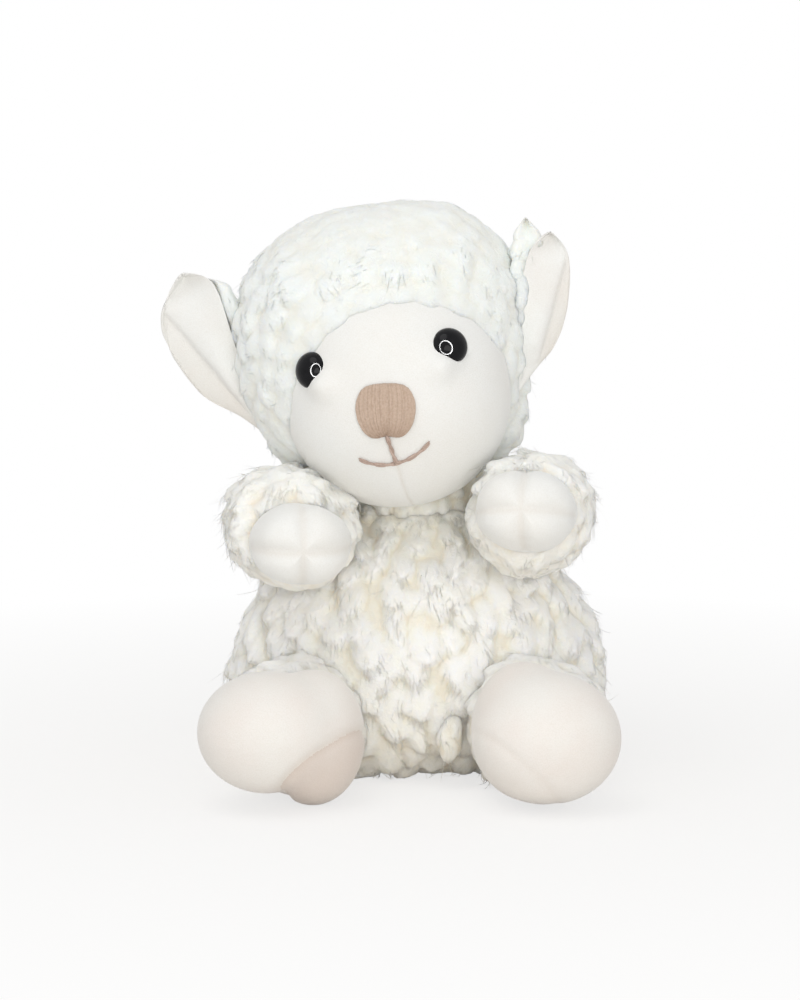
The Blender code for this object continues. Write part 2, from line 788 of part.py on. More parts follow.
def build_arm(label, pose, torso, torso_pieces, head, neck_pivot, head_forms):
    side = pose["side"]
    turn = math.radians(SHOULDER_ANGLE_DEG)
    outward = Vector((side * math.cos(turn), -math.sin(turn), 0))
    point, _ = surface_point(torso.skin(f"shoulder_probe_{label}"), (0, 0, SHOULDER_HEIGHT), outward)
    shoulder = point + outward * SHOULDER_STAND_OFF
    lift = math.radians(pose["arm_lift_deg"])
    swing = math.radians(pose["arm_in_deg"])
    aim = Vector((-side * math.sin(swing), -math.cos(swing), math.tan(lift)))
    pivot = new_pivot(f"shoulder_{label}_pivot", facing(shoulder, aim))

    root_radius = ARM_ROOT_DIAMETER / 2
    sleeve = Form(
        "sleeve",
        SLEEVE_OUTLINE_SHARES,
        (ARM_DIAMETER, ARM_DIAMETER, SLEEVE_LENGTH + root_radius),
        LIMB_SEGMENTS,
        pivot,
        floor=-root_radius,
    )
    paw = Form(
        "paw",
        ball_outline(LIMB_RINGS),
        (PAW_WIDTH, PAW_HEIGHT, PAW_DEPTH),
        LIMB_SEGMENTS,
        pivot,
        centre=(0, 0, PAW_REACH),
    )
    cover = cloth_shell(sleeve, f"arm_sleeve_{label}", FLEECE_WALL, FLEECE)
    combine(cover, "DIFFERENCE", paw.skin(f"paw_clearance_{label}", GAP))
    mitten = cloth_shell(paw, f"paw_{label}", VELBOA_WALL, VELBOA)
    combine(mitten, "DIFFERENCE", sleeve.core(f"sleeve_inside_{label}", FLEECE_WALL))
    filling = sleeve.core(f"arm_stuffing_{label}", FLEECE_WALL + GAP, PARTS, STUFFING)
    combine(filling, "UNION", paw.core(f"paw_filling_{label}", VELBOA_WALL + GAP))

    swings = (-side * SHOULDER_SWING_IN_DEG, side * SHOULDER_SWING_OUT_DEG)
    beside = limb_root(f"arm_{label}", sleeve, torso, torso_pieces, GAP, "Z", swings)
    above = head_room(label, side, head, neck_pivot, head_forms)
    for piece in (cover, filling):
        combine(piece, "DIFFERENCE", beside, above)
    return along_limb(pivot, ARM_DIAMETER / 2, (0, SLEEVE_LENGTH / 2, PAW_REACH))


# Legs


def build_leg(label, pose, torso, torso_pieces):
    side = pose["side"]
    turn = math.radians(HIP_ANGLE_DEG)
    outward = Vector((side * math.cos(turn), -math.sin(turn), 0))
    point, _ = surface_point(torso.skin(f"hip_probe_{label}"), (0, 0, HIP_HEIGHT), outward)
    hip = point + outward * HIP_STAND_OFF
    swing = math.radians(pose["leg_out_deg"])
    aim = Vector((side * math.sin(swing), -math.cos(swing), 0))
    pivot = new_pivot(f"hip_{label}_pivot", facing(hip, aim))

    root_radius = LEG_ROOT_DIAMETER / 2
    leg = Form(
        "leg",
        LEG_OUTLINE_SHARES,
        (LEG_DIAMETER, LEG_DIAMETER, LEG_LENGTH + root_radius),
        LIMB_SEGMENTS,
        pivot,
        floor=-root_radius,
    )
    toe_place = Vector((side * pose["toe_out"], TOE_RISE, TOE_REACH))
    toe = Form(
        "toe",
        ball_outline(LIMB_RINGS),
        (TOE_WIDTH, TOE_HEIGHT, TOE_DEPTH),
        LIMB_SEGMENTS,
        pivot,
        centre=toe_place,
    )
    heel_height = HEEL_HEIGHT / 2 - SEAT_FLAT - HIP_HEIGHT
    heel_place = Vector((-side * pose["heel_in"], heel_height, HEEL_REACH))
    heel = Form(
        "heel",
        ball_outline(LIMB_RINGS),
        (HEEL_WIDTH, HEEL_HEIGHT, HEEL_DEPTH),
        LIMB_SEGMENTS,
        pivot,
        centre=heel_place,
    )
    cover = cloth_shell(leg, f"leg_sleeve_{label}", FLEECE_WALL, FLEECE)
    combine(cover, "DIFFERENCE", toe.skin(f"toe_clearance_{label}", GAP))
    combine(cover, "DIFFERENCE", heel.skin(f"heel_clearance_{label}", GAP), FLOOR)

    tilt = math.radians(SOLE_TURN_DEG)
    front = math.radians(SOLE_FRONT_DEG)
    down = Vector((-side * math.sin(tilt), -math.cos(tilt), math.tan(front))).normalized()
    sole_plane = facing((toe_place + heel_place) / 2 + down * SOLE_OFFSET, down)
    reach = TOE_WIDTH + HEEL_WIDTH
    low = (-reach, -reach, -reach)
    high = (reach, reach, reach)
    upper_side = box_cutter(f"upper_side_{label}", low, (reach, reach, 0), pivot, sole_plane)
    sole_side = box_cutter(f"sole_side_{label}", (-reach, -reach, -GAP), high, pivot, sole_plane)

    heel_skin = heel.skin(f"heel_skin_{label}")
    insides = [
        toe.core(f"toe_inside_{label}", VELBOA_WALL),
        heel.core(f"heel_inside_{label}", VELBOA_WALL),
        leg.core(f"leg_inside_{label}", FLEECE_WALL),
    ]
    upper = toe.skin(f"foot_upper_{label}", 0.0, PARTS, VELBOA)
    sole = toe.skin(f"foot_sole_{label}", 0.0, PARTS, VELBOA)
    for piece in (upper, sole):
        combine(piece, "UNION", heel_skin)
        combine(piece, "DIFFERENCE", *insides)
    combine(upper, "DIFFERENCE", sole_side, FLOOR)
    combine(sole, "DIFFERENCE", upper_side, FLOOR)

    filling = leg.core(f"leg_stuffing_{label}", FLEECE_WALL + GAP, PARTS, STUFFING)
    combine(filling, "UNION", toe.core(f"toe_filling_{label}", VELBOA_WALL + GAP))
    combine(filling, "UNION", heel.core(f"heel_filling_{label}", VELBOA_WALL + GAP))
    beside = limb_root(f"leg_{label}", leg, torso, torso_pieces, HIP_CREASE, "X", [-HIP_LIFT_DEG])
    for piece in (cover, upper, filling):
        combine(piece, "DIFFERENCE", beside)
    return along_limb(pivot, LEG_DIAMETER / 2, (0, LEG_LENGTH, TOE_REACH))


# Tail


def build_tail(torso, torso_pieces):
    back = Vector((0, 1, 0))
    point, _ = surface_point(torso.skin("tail_probe"), (0, 0, TAIL_HEIGHT), back)
    droop = math.radians(TAIL_DROOP_DEG)
    pivot = new_pivot("tail_pivot", facing(point, (0, math.cos(droop), -math.sin(droop))))
    root_radius = TAIL_ROOT_DIAMETER / 2
    tail = Form(
        "tail",
        LEG_OUTLINE_SHARES,
        (TAIL_DIAMETER, TAIL_DIAMETER, TAIL_LENGTH + root_radius),
        LIMB_SEGMENTS,
        pivot,
        floor=-root_radius,
    )
    plume = tail.skin("tail", 0.0, PARTS, FLEECE)
    combine(plume, "DIFFERENCE", limb_root("tail", tail, torso, torso_pieces, TAIL_CREASE))
    return along_limb(pivot, TAIL_DIAMETER / 2, (0, TAIL_LENGTH / 2))


def main():
    torso, torso_pieces = build_torso()
    neck_pivot, neck_socket = build_neck(torso_pieces)
    head, crown, face, hood, panel, head_filling = build_head(neck_pivot, neck_socket)
    keep_off = along_limb(neck_pivot, NECK_BALL_DIAMETER, (0, -NECK_SINK))
    face_ball = along_limb(head, FACE_WIDTH / 2, (face.centre[2],))
    for label, pose in SIDES.items():
        build_eye(label, pose["side"], head, face, hood, panel, head_filling)
        keep_off += build_ear(label, pose, head, crown, face, [hood, head_filling])
        keep_off += build_arm(label, pose, torso, torso_pieces, head, neck_pivot, [crown, face])
        keep_off += build_leg(label, pose, torso, torso_pieces)
    build_stitching(head, face)
    keep_off += build_tail(torso, torso_pieces)
    raise_tufts(torso_pieces[0], torso, keep_off + face_ball)
    to_head = head.matrix_world.inverted()
    raise_tufts(hood, crown, [(to_head @ centre, radius) for centre, radius in keep_off])


main()
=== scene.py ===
"""Looks of the sitting plush sheep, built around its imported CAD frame.

Each fleece cover is a dense surface that swells into soft tufts, with thin loose fibres on it.
The face, paws, feet and ear linings are short-pile velboa, and the nose and mouth are thread.
`left` is the toy's own left, at +X. Metres throughout, but millimetres in the ears' tables.
"""

import json
import math

import bpy
import numpy as np
from mathutils import Matrix, Vector
from mathutils.bvhtree import BVHTree
from mathutils.kdtree import KDTree


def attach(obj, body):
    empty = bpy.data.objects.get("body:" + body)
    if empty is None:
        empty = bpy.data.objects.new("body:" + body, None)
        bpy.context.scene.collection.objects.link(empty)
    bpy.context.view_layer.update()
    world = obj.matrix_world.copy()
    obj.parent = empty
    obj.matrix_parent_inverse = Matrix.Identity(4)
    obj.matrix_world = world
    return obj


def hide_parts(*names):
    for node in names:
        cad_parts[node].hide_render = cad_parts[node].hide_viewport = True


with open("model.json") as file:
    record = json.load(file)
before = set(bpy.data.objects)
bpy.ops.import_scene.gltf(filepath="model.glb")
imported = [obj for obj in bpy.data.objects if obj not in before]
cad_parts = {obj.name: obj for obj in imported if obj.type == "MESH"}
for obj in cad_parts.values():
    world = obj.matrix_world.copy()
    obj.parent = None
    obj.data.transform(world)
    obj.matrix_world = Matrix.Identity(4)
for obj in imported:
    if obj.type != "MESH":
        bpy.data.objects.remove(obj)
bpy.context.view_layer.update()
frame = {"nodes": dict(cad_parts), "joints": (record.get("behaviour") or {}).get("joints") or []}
JOINT_PLACE = {joint["name"]: Vector(joint["pos_m"]) for joint in frame["joints"]}

# Soft forms, as in the CAD: (height, width, depth) shares of rings stacked to a size
BODY_SHARES = [
    (0.00, 0.00, 0.00), (0.00, 0.46, 0.46), (0.03, 0.82, 0.82), (0.18, 1.00, 1.00),
    (0.40, 1.03, 1.03), (0.60, 0.92, 0.92), (0.78, 0.80, 0.70), (0.91, 0.63, 0.47),
    (1.00, 0.34, 0.26), (1.00, 0.00, 0.00),
]
BODY_SIZE = (0.129, 0.100, 0.0925)
FACE_SHARES = [
    (0.00, 0.00, 0.00), (0.045, 0.47, 0.50), (0.18, 0.82, 0.84), (0.36, 1.02, 1.02),
    (0.54, 1.04, 1.00), (0.71, 1.00, 0.91), (0.88, 0.79, 0.80), (0.97, 0.48, 0.53),
    (1.00, 0.00, 0.00),
]
FACE_SIZE = (0.075, 0.068, 0.074)
FACE_FLOOR = -0.052
FACE_REACH = 0.019
CROWN_SIZE = (0.099, 0.092, 0.098)
SLEEVE_SHARES = [
    (0.00, 0.00, 0.00), (0.04, 0.55, 0.55), (0.26, 0.93, 0.93), (0.58, 1.02, 1.02),
    (0.92, 0.90, 0.90), (1.00, 0.00, 0.00),
]
LEG_SHARES = [
    (0.00, 0.00, 0.00), (0.05, 0.56, 0.56), (0.32, 0.98, 0.98), (0.66, 1.02, 1.02),
    (0.93, 0.72, 0.72), (1.00, 0.00, 0.00),
]
BODY_FLOOR = -0.0005
CROWN_MIDDLE = (-0.0045, 0, 0)
FLEECE_CLEAR = 0.0003
JUST_INSIDE = 0.0005

# Degrees for spread, arm_in, arm_lift and leg_out, and metres for the rest
SIDES = {
    "left": {
        "side": 1, "spread": 17.0, "arm_in": 8.0, "arm_lift": 13.0, "sleeve_out": 0.0002, "leg_out": 0.0,
        "toe_out": 0.0030, "toe_up": 0.0012, "toe_wide": 0.0462, "toe_tall": 0.0414,
        "heel_in": 0.0040, "heel_up": 0.0024, "seam": 0.0003,
    },
    "right": {
        "side": -1, "spread": 22.0, "arm_in": 6.0, "arm_lift": -1.5, "sleeve_out": 0.0034, "leg_out": 3.0,
        "toe_out": 0.0060, "toe_up": 0.0030, "toe_wide": 0.0440, "toe_tall": 0.0380,
        "heel_in": 0.0075, "heel_up": 0.0, "seam": 0.0009,
    },
}


# Frames of the moving parts


def facing(point, direction, up=(0, 0, 1)):
    """A frame at a point, with its Z along a direction."""
    z_axis = Vector(direction).normalized()
    x_axis = Vector(up).cross(z_axis).normalized()
    turn = Matrix((x_axis, z_axis.cross(x_axis), z_axis)).transposed()
    return Matrix.Translation(point) @ turn.to_4x4()


HEAD = (
    Matrix.Translation((-0.0065, -0.006, 0.1420))
    @ Matrix.Rotation(math.radians(-10.3), 4, "Y")
    @ Matrix.Rotation(math.radians(-6.5), 4, "Z")
)


def arm_frame(label):
    pose = SIDES[label]
    swing = math.radians(pose["arm_in"])
    lift = math.radians(pose["arm_lift"])
    aim = Vector((-pose["side"] * math.sin(swing), -math.cos(swing), math.tan(lift)))
    return facing(JOINT_PLACE[f"shoulder_{label}"], aim)


def leg_frame(label):
    pose = SIDES[label]
    swing = math.radians(pose["leg_out"])
    aim = Vector((pose["side"] * math.sin(swing), -math.cos(swing), 0))
    return facing(JOINT_PLACE[f"hip_{label}"], aim)


def ear_frame(label):
    pose = SIDES[label]
    tilt = Matrix.Rotation(math.radians(pose["side"] * pose["spread"]), 4, "Y")
    turn = (HEAD.to_3x3() @ tilt.to_3x3()).to_4x4()
    return Matrix.Translation(JOINT_PLACE[f"ear_{label}_bend"]) @ turn


def tail_frame():
    droop = math.radians(20)
    return facing(JOINT_PLACE["tail_wag"], (0, math.cos(droop), -math.sin(droop)))


# Mesh arrays


def moved(points, matrix):
    turn = np.array(matrix.to_3x3())
    return points @ turn.T + np.array(matrix.translation)


def value_noise(points, scale, seed=0):
    """Smooth noise from -1 to 1 at each point."""
    place = points / scale
    cell = np.floor(place).astype(np.int64)
    part = place - cell
    part = part * part * (3 - 2 * part)
    total = np.zeros(len(points))
    for corner in range(8):
        offset = np.array([corner & 1, corner >> 1 & 1, corner >> 2 & 1])
        key = (cell + offset) @ np.array([73856093, 19349663, 83492791]) + seed * 2654435761
        key = (key ^ (key >> 13)) * 1274126177 & 0x7FFFFFFF
        key = (key ^ (key >> 16)) & 0xFFFF
        weight = np.prod(np.where(offset, part, 1 - part), axis=1)
        total += weight * (key / 32767.5 - 1)
    return total


def noise_vectors(points, scale, seed):
    return np.stack([value_noise(points, scale, seed + k) for k in range(3)], axis=1)


def rows_and_columns(rows, columns):
    """Triangles of a closed surface: two poles and rows of points around it."""
    faces = []
    for row in range(rows - 1):
        for column in range(columns):
            after = (column + 1) % columns
            a = 1 + row * columns + column
            b = 1 + row * columns + after
            faces += [(a, b, b + columns), (a, b + columns, a + columns)]
    last = 1 + rows * columns
    for column in range(columns):
        after = (column + 1) % columns
        faces.append((0, 1 + after, 1 + column))
        faces.append((last, last - columns + column, last - columns + after))
    return np.array(faces)


def circle(count):
    """Angles spread evenly round a circle."""
    return np.arange(count) / count * 2 * math.pi


def ring_stack(wide, deep, height, columns):
    """Points of a closed form about Z: a pole, the rings between, and a pole."""
    around = circle(columns)
    across = np.outer(wide[1:-1], np.cos(around))
    through = np.outer(deep[1:-1], np.sin(around))
    level = np.repeat(height[1:-1, None], columns, axis=1)
    body = np.stack([across, through, level], axis=-1).reshape(-1, 3)
    return np.vstack([[0, 0, height[0]], body, [0, 0, height[-1]]])


def soft_form(shares, size, rows, columns, floor=None, centre=(0, 0, 0)):
    """A smooth closed form through rings of shares, as points and triangles, poles along Z."""
    knots = np.array(shares, float)
    flip = np.array([1, -1, -1])
    knots = np.vstack([knots[1] * flip, knots, knots[-2] * flip])
    spans = len(shares) - 1
    fine = np.linspace(0, spans, 600)
    start = np.minimum(np.floor(fine).astype(int), spans - 1)
    t = (fine - start)[:, None]
    curve = (
        (1 - t) ** 3 * knots[start]
        + (3 * t**3 - 6 * t**2 + 4) * knots[start + 1]
        + (-3 * t**3 + 3 * t**2 + 3 * t + 1) * knots[start + 2]
        + t**3 * knots[start + 3]
    ) / 6
    low, high = curve[:, 0].min(), curve[:, 0].max()
    curve[:, 0] = (curve[:, 0] - low) / (high - low) - 0.5
    curve[:, 1:] /= curve[:, 1:].max(axis=0)
    run = np.hypot(np.diff(curve[:, 0] * size[2]), np.diff(curve[:, 1] * size[0] / 2))
    length = np.concatenate([[0], np.cumsum(run)])
    wanted = np.linspace(0, length[-1], rows + 2)
    ring = np.stack([np.interp(wanted, length, curve[:, k]) for k in range(3)], axis=1)
    points = ring_stack(*ring.T[[1, 2, 0]], columns) * np.array([size[0] / 2, size[1] / 2, size[2]])
    middle = np.array(centre, float)
    if floor is not None:
        middle[2] = floor + size[2] / 2
    return points + middle, rows_and_columns(rows, columns)


def ball_shares(rings=12):
    turns = [math.pi * k / rings for k in range(rings + 1)]
    return [((1 - math.cos(a)) / 2, math.sin(a), math.sin(a)) for a in turns]


def face_vectors(points, faces):
    """A vector across each triangle, twice as long as its area."""
    corners = points[faces]
    return np.cross(corners[:, 1] - corners[:, 0], corners[:, 2] - corners[:, 0])


def normals_of(points, faces):
    across = face_vectors(points, faces)
    normals = np.zeros_like(points)
    for k in range(3):
        np.add.at(normals, faces[:, k], across)
    return normals / np.maximum(np.linalg.norm(normals, axis=1, keepdims=True), 1e-12)


def unit(vectors):
    return vectors / np.maximum(np.linalg.norm(vectors, axis=-1, keepdims=True), 1e-12)


def smooth_step(values, start, end):
    t = np.clip((values - start) / (end - start), 0, 1)
    return t * t * (3 - 2 * t)


def tree_of(points, faces):
    return BVHTree.FromPolygons([Vector(p) for p in points], [tuple(f) for f in faces])


def kd_tree(points):
    tree = KDTree(len(points))
    for index, point in enumerate(points):
        tree.insert(Vector(point), index)
    tree.balance()
    return tree


def lift_off_floor(points, least=FLEECE_CLEAR):
    points[:, 2] = np.maximum(points[:, 2], least)


def depth_inside(tree, points):
    """How deep each point lies below the tree's surface, negative outside."""
    depths = np.empty(len(points))
    for k, point in enumerate(points):
        near, normal, _, _ = tree.find_nearest(Vector(point))
        depths[k] = -(Vector(point) - near).dot(normal)
    return depths


def new_piece(name, points, faces, material, body, layers=None):
    """A mesh object that rides on a body, with per-point values."""
    mesh = bpy.data.meshes.new(name)
    mesh.vertices.add(len(points))
    mesh.vertices.foreach_set("co", np.asarray(points, np.float32).ravel())
    sides = faces.shape[1]
    mesh.loops.add(faces.size)
    mesh.loops.foreach_set("vertex_index", faces.astype(np.int32).ravel())
    mesh.polygons.add(len(faces))
    mesh.polygons.foreach_set("loop_start", np.arange(0, faces.size, sides, dtype=np.int32))
    mesh.polygons.foreach_set("use_smooth", np.ones(len(faces), bool))
    mesh.update(calc_edges=True)
    for layer, values in (layers or {}).items():
        attribute = mesh.attributes.new(layer, "FLOAT", "POINT")
        attribute.data.foreach_set("value", np.asarray(values, np.float32))
    mesh.materials.append(material)
    obj = bpy.data.objects.new(name, mesh)
    bpy.context.scene.collection.objects.link(obj)
    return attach(obj, body)


def velboa_piece(name, points, faces, material, body, node, seam):
    """A padded piece of short-pile cloth in place of a CAD node."""
    piece = new_piece(name, points, faces, material, body, {"seam": seam})
    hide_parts(node)


class Bundle:
    """Threads gathered into one mesh, with their values."""

    def __init__(self):
        self.points, self.faces, self.depth, self.tint = [], [], [], []
        self.count = 0

    def add(self, points, faces, depth, tint):
        self.points.append(points)
        self.faces.append(faces + self.count)
        self.depth.append(depth)
        self.tint.append(np.full(len(points), tint))
        self.count += len(points)

    def piece(self, name, material, body):
        layers = {"depth": np.concatenate(self.depth), "tint": np.concatenate(self.tint)}
        return new_piece(name, np.vstack(self.points), np.vstack(self.faces), material, body, layers)


# Fleece


def scatter(points, faces, spacing, rng, keep=None):
    """Places on a surface, at least a spacing apart."""
    normals = normals_of(points, faces)
    corners = points[faces]
    area = np.linalg.norm(face_vectors(points, faces), axis=1)
    tries = int(area.sum() / 2 / spacing**2 * 9)
    picked = rng.choice(len(faces), tries, p=area / area.sum())
    a = np.sqrt(rng.random(tries))
    b = rng.random(tries)
    shares = np.stack([1 - a, a * (1 - b), a * b], axis=1)[:, :, None]
    places = (corners[picked] * shares).sum(axis=1)
    if keep is not None:
        places = places[keep(places, unit((normals[faces[picked]] * shares).sum(axis=1)))]
    steps = [(i, j, k) for i in (-1, 0, 1) for j in (-1, 0, 1) for k in (-1, 0, 1)]
    cells, chosen = {}, []
    for index, (x, y, z) in enumerate(np.floor(places / spacing).astype(int)):
        near = [other for i, j, k in steps for other in cells.get((x + i, y + j, z + k), ())]
        gaps = [places[index] - places[other] for other in near]
        if all(gap @ gap >= spacing * spacing for gap in gaps):
            cells.setdefault((x, y, z), []).append(index)
            chosen.append(index)
    return places[chosen]


def hanging(normals, rng, swirl):
    """Tangent directions that hang down, turned by random angles of about swirl."""
    down = np.array([0.0, 0.0, -1.0])
    pull = down - normals * (normals @ down)[:, None]
    weak = np.linalg.norm(pull, axis=1) < 0.25
    pull[weak] += rng.normal(size=(weak.sum(), 3)) * 0.4
    pull -= normals * (pull * normals).sum(axis=1, keepdims=True)
    pull = unit(pull)
    side = np.cross(normals, pull)
    angle = rng.normal(size=len(normals)) * swirl
    return pull * np.cos(angle)[:, None] + side * np.sin(angle)[:, None]


def woolly(
    points, faces, rng, spacing, length, width, height, swirl, droop,
    soft=1.15, keep=None, trim=None, where=None,
):
    """Swells a dense surface into soft tufts; returns its points, depth, tint, direction and normals."""
    normals = normals_of(points, faces)
    places = scatter(points, faces, spacing, rng, keep)
    tree = kd_tree(places)
    near = 7
    found = np.zeros((len(points), near), int)
    for row, point in enumerate(points):
        hits = tree.find_n(Vector(point), near)
        found[row] = [hit[1] for hit in hits]
    surface = kd_tree(points)
    out = np.array([normals[surface.find(Vector(place))[1]] for place in places])
    lean = hanging(out, rng, swirl)
    across = np.cross(out, lean)
    long = length * rng.uniform(0.75, 1.3, len(places))
    wide = width * rng.uniform(0.8, 1.25, len(places))
    tall = height * rng.uniform(0.62, 1.12, len(places))
    if trim is not None:
        tall *= trim(places)
    skew = rng.uniform(-0.35, 0.35, len(places))
    tint = rng.random(len(places))
    wobble = noise_vectors(points, 0.0034, 5) * 0.0011
    delta = (points + wobble)[:, None, :] - places[found]
    along = (delta * lean[found]).sum(axis=2) / (long[found] / 2)
    side = (delta * across[found]).sum(axis=2) / (wide[found] / 2)
    side = side + skew[found] * along
    rest = (delta * out[found]).sum(axis=2) / width
    blunt = np.where(along > 0, along * 1.08, along * 0.88)
    far = blunt**2 + side**2 + rest**2 * 0.5
    bump = np.maximum(0, 1 - far) ** soft * tall[found] * (1 + 0.25 * np.clip(along, -1, 1))
    sharp = 2.6
    swell = (bump**sharp).sum(axis=1) ** (1 / sharp)
    share = bump**4 + (height * 0.02) ** 4
    share /= share.sum(axis=1, keepdims=True)
    mean_lean = unit((lean[found] * share[:, :, None]).sum(axis=1))
    mean_tint = (tint[found] * share).sum(axis=1)
    curl = noise_vectors(points, 0.0042, 15) * 0.0018
    ripple = value_noise(points + curl, 0.0023, 3) * 0.00034 + value_noise(points, 0.0048, 4) * 0.0006
    swell = np.maximum(swell, 0) + ripple * min(1, height / 0.003)
    if where is not None:
        swell *= where(points, normals)
    lift = np.clip(swell / height, 0, 1.2)
    shaped = points + normals * swell[:, None] + mean_lean * (droop * height * lift**2)[:, None]
    return shaped, np.clip(lift, 0, 1), mean_tint, mean_lean, normals


FIBRE_STEPS = 6
FIBRE_HALF = 0.00008
FIBRE_TAPER = np.array([1, 1, 0.95, 0.85, 0.6, 0.15])


def stray_fibres(shaped, depth, tint, lean, normals, rng, count, reach, keep=None, wild=0.24):
    """Thin curved ribbons that lie along the tufts and stray off them: points, faces and tint."""
    weight = np.clip(depth - 0.25, 0, 1)
    if keep is not None:
        weight = weight * keep(shaped, normals)
    spot = rng.choice(len(shaped), count, p=weight / weight.sum())
    root, away = shaped[spot], normals[spot]
    heading = lean[spot] + away * rng.uniform(-0.05, 0.12, (count, 1))
    heading = unit(heading + rng.normal(size=(count, 3)) * wild)
    curl = rng.normal(size=(count, 3)) * 0.7 - away * 0.8
    long = reach * rng.uniform(0.5, 1.5, count)
    steps = np.linspace(0, 1, FIBRE_STEPS)
    path = (
        root[:, None, :]
        + heading[:, None, :] * (long[:, None] * steps)[:, :, None]
        + curl[:, None, :] * (long[:, None] * steps**2 * 0.5)[:, :, None]
    )
    flat = unit(np.cross(heading, away + rng.normal(size=(count, 3)) * 0.4))
    half = flat[:, None, :] * (FIBRE_HALF * FIBRE_TAPER)[None, :, None]
    points = np.stack([path + half, path - half], axis=2).reshape(-1, 3)
    lift_off_floor(points, 0.0002)
    pairs = np.arange(FIBRE_STEPS - 1)[:, None] * 2
    ladder = np.stack([pairs + [0, 1, 3], pairs + [0, 3, 2]], axis=1).reshape(-1, 3)
    faces = (ladder[None] + (np.arange(count) * FIBRE_STEPS * 2)[:, None, None]).reshape(-1, 3)
    return points, faces, np.repeat(tint[spot], FIBRE_STEPS * 2)


# Materials

WHITE = (1, 1, 1)


def new_material(name):
    material = bpy.data.materials.new(name)
    material.use_nodes = True
    return material, material.node_tree, material.node_tree.nodes["Principled BSDF"]


def set_inputs(tree, node, inputs):
    """Gives a node's inputs their values, or joins them to what other nodes put out."""
    for name, value in inputs.items():
        if isinstance(value, bpy.types.NodeSocket):
            tree.links.new(value, node.inputs[name])
        else:
            node.inputs[name].default_value = value


def add_node(tree, kind, output, inputs, **settings):
    """The named output of a new node."""
    node = tree.nodes.new(f"ShaderNode{kind}")
    for name, value in settings.items():
        setattr(node, name, value)
    set_inputs(tree, node, inputs)
    return node.outputs[output]


def color_ramp(tree, factor, stops):
    color = add_node(tree, "ValToRGB", "Color", {"Fac": factor})
    elements = color.node.color_ramp.elements
    while len(elements) < len(stops):
        elements.new(0.5)
    for element, (place, shade) in zip(elements, stops):
        element.position = place
        element.color = (*shade, 1)
    return color


def object_place(tree):
    return add_node(tree, "TexCoord", "Object", {})


def noise_texture(tree, scale, detail, distortion=0.0):
    inputs = {"Vector": object_place(tree), "Scale": scale, "Detail": detail, "Distortion": distortion}
    return add_node(tree, "TexNoise", "Fac", inputs)


def multiplied(tree, factor, first, second):
    """A colour multiplied by another, as far as the factor says."""
    inputs = {"Factor": factor, "A": first, "B": second}
    return add_node(tree, "Mix", "Result", inputs, data_type="RGBA", blend_type="MULTIPLY")


def attribute(tree, name):
    return add_node(tree, "Attribute", "Fac", {}, attribute_name=name)


def add_bump(tree, shader, height, strength, distance):
    inputs = {"Height": height, "Strength": strength, "Distance": distance}
    set_inputs(tree, shader, {"Normal": add_node(tree, "Bump", "Normal", inputs)})


def fleece_material(name, tip, root, shade, painted_height_shade=False):
    """Wool: pale at the tips, warmer and darker down in the pile, partly its own tone and partly painted
    shade between the tufts, with fine curls all over.
    """
    material, tree, shader = new_material(name)
    between = tuple(r * 0.4 + t * 0.6 for r, t in zip(root, tip))
    # painted shade: the colour warms and darkens toward the roots of the tufts, partly the wool's own tone
    # and partly shade between the tufts
    ramp = color_ramp(tree, attribute(tree, "depth"), [(0.05, root), (0.30, between), (0.60, tip)])
    tints = color_ramp(tree, attribute(tree, "tint"), [(0.0, shade), (0.5, WHITE), (1.0, WHITE)])
    base = multiplied(tree, 1.0, ramp, tints)
    patch = noise_texture(tree, 260, 3.0)
    patches = color_ramp(tree, patch, [(0.3, (0.96, 0.945, 0.90)), (0.6, WHITE)])
    base = multiplied(tree, 0.4, base, patches)
    if painted_height_shade:
        # painted shade: warmer near the floor and high up under the head, where shade falls on the wool
        height = add_node(tree, "SeparateXYZ", "Z", {"Vector": object_place(tree)})
        height = add_node(tree, "MapRange", "Result", {"Value": height, "From Max": 0.12})
        painted_warm_shade = color_ramp(
            tree, height,
            [(0.0, (1, 0.955, 0.91)), (0.30, WHITE), (0.60, WHITE), (0.80, (1, 0.965, 0.90))],
        )
        base = multiplied(tree, 1.0, base, painted_warm_shade)
    set_inputs(tree, shader, {
        "Base Color": base, "Roughness": 0.92, "Specular IOR Level": 0.15,
        "Sheen Weight": 0.25, "Sheen Roughness": 0.45,
        "Subsurface Weight": 0.85, "Subsurface Radius": (1.0, 0.93, 0.82), "Subsurface Scale": 0.0042,
    })
    curls = noise_texture(tree, 620, 4.0, 1.6)
    add_bump(tree, shader, curls, 0.55, 0.0007)
    return material


def velboa_material(name, base_color, warm):
    """Short pile: soft blotches where the nap lies another way, and a fine fuzz."""
    material, tree, shader = new_material(name)
    patch = noise_texture(tree, 45, 3.0)
    ramp = color_ramp(tree, patch, [(0.35, warm), (0.62, base_color)])
    fuzz = noise_texture(tree, 2600, 2.0)
    fuzz_ramp = color_ramp(tree, fuzz, [(0.3, (0.94, 0.93, 0.91)), (0.6, WHITE)])
    base = multiplied(tree, 0.7, ramp, fuzz_ramp)
    # painted shade: darker and warmer where the seam layer is high, in seam grooves and on the ear lining's
    # outer strip
    seam = color_ramp(tree, attribute(tree, "seam"), [(0.0, WHITE), (1.0, (0.80, 0.72, 0.64))])
    base = multiplied(tree, 1.0, base, seam)
    set_inputs(tree, shader, {
        "Base Color": base, "Roughness": 0.88, "Specular IOR Level": 0.15,
        "Sheen Weight": 0.45, "Sheen Roughness": 0.35,
    })
    add_bump(tree, shader, fuzz, 0.35, 0.00035)
    return material


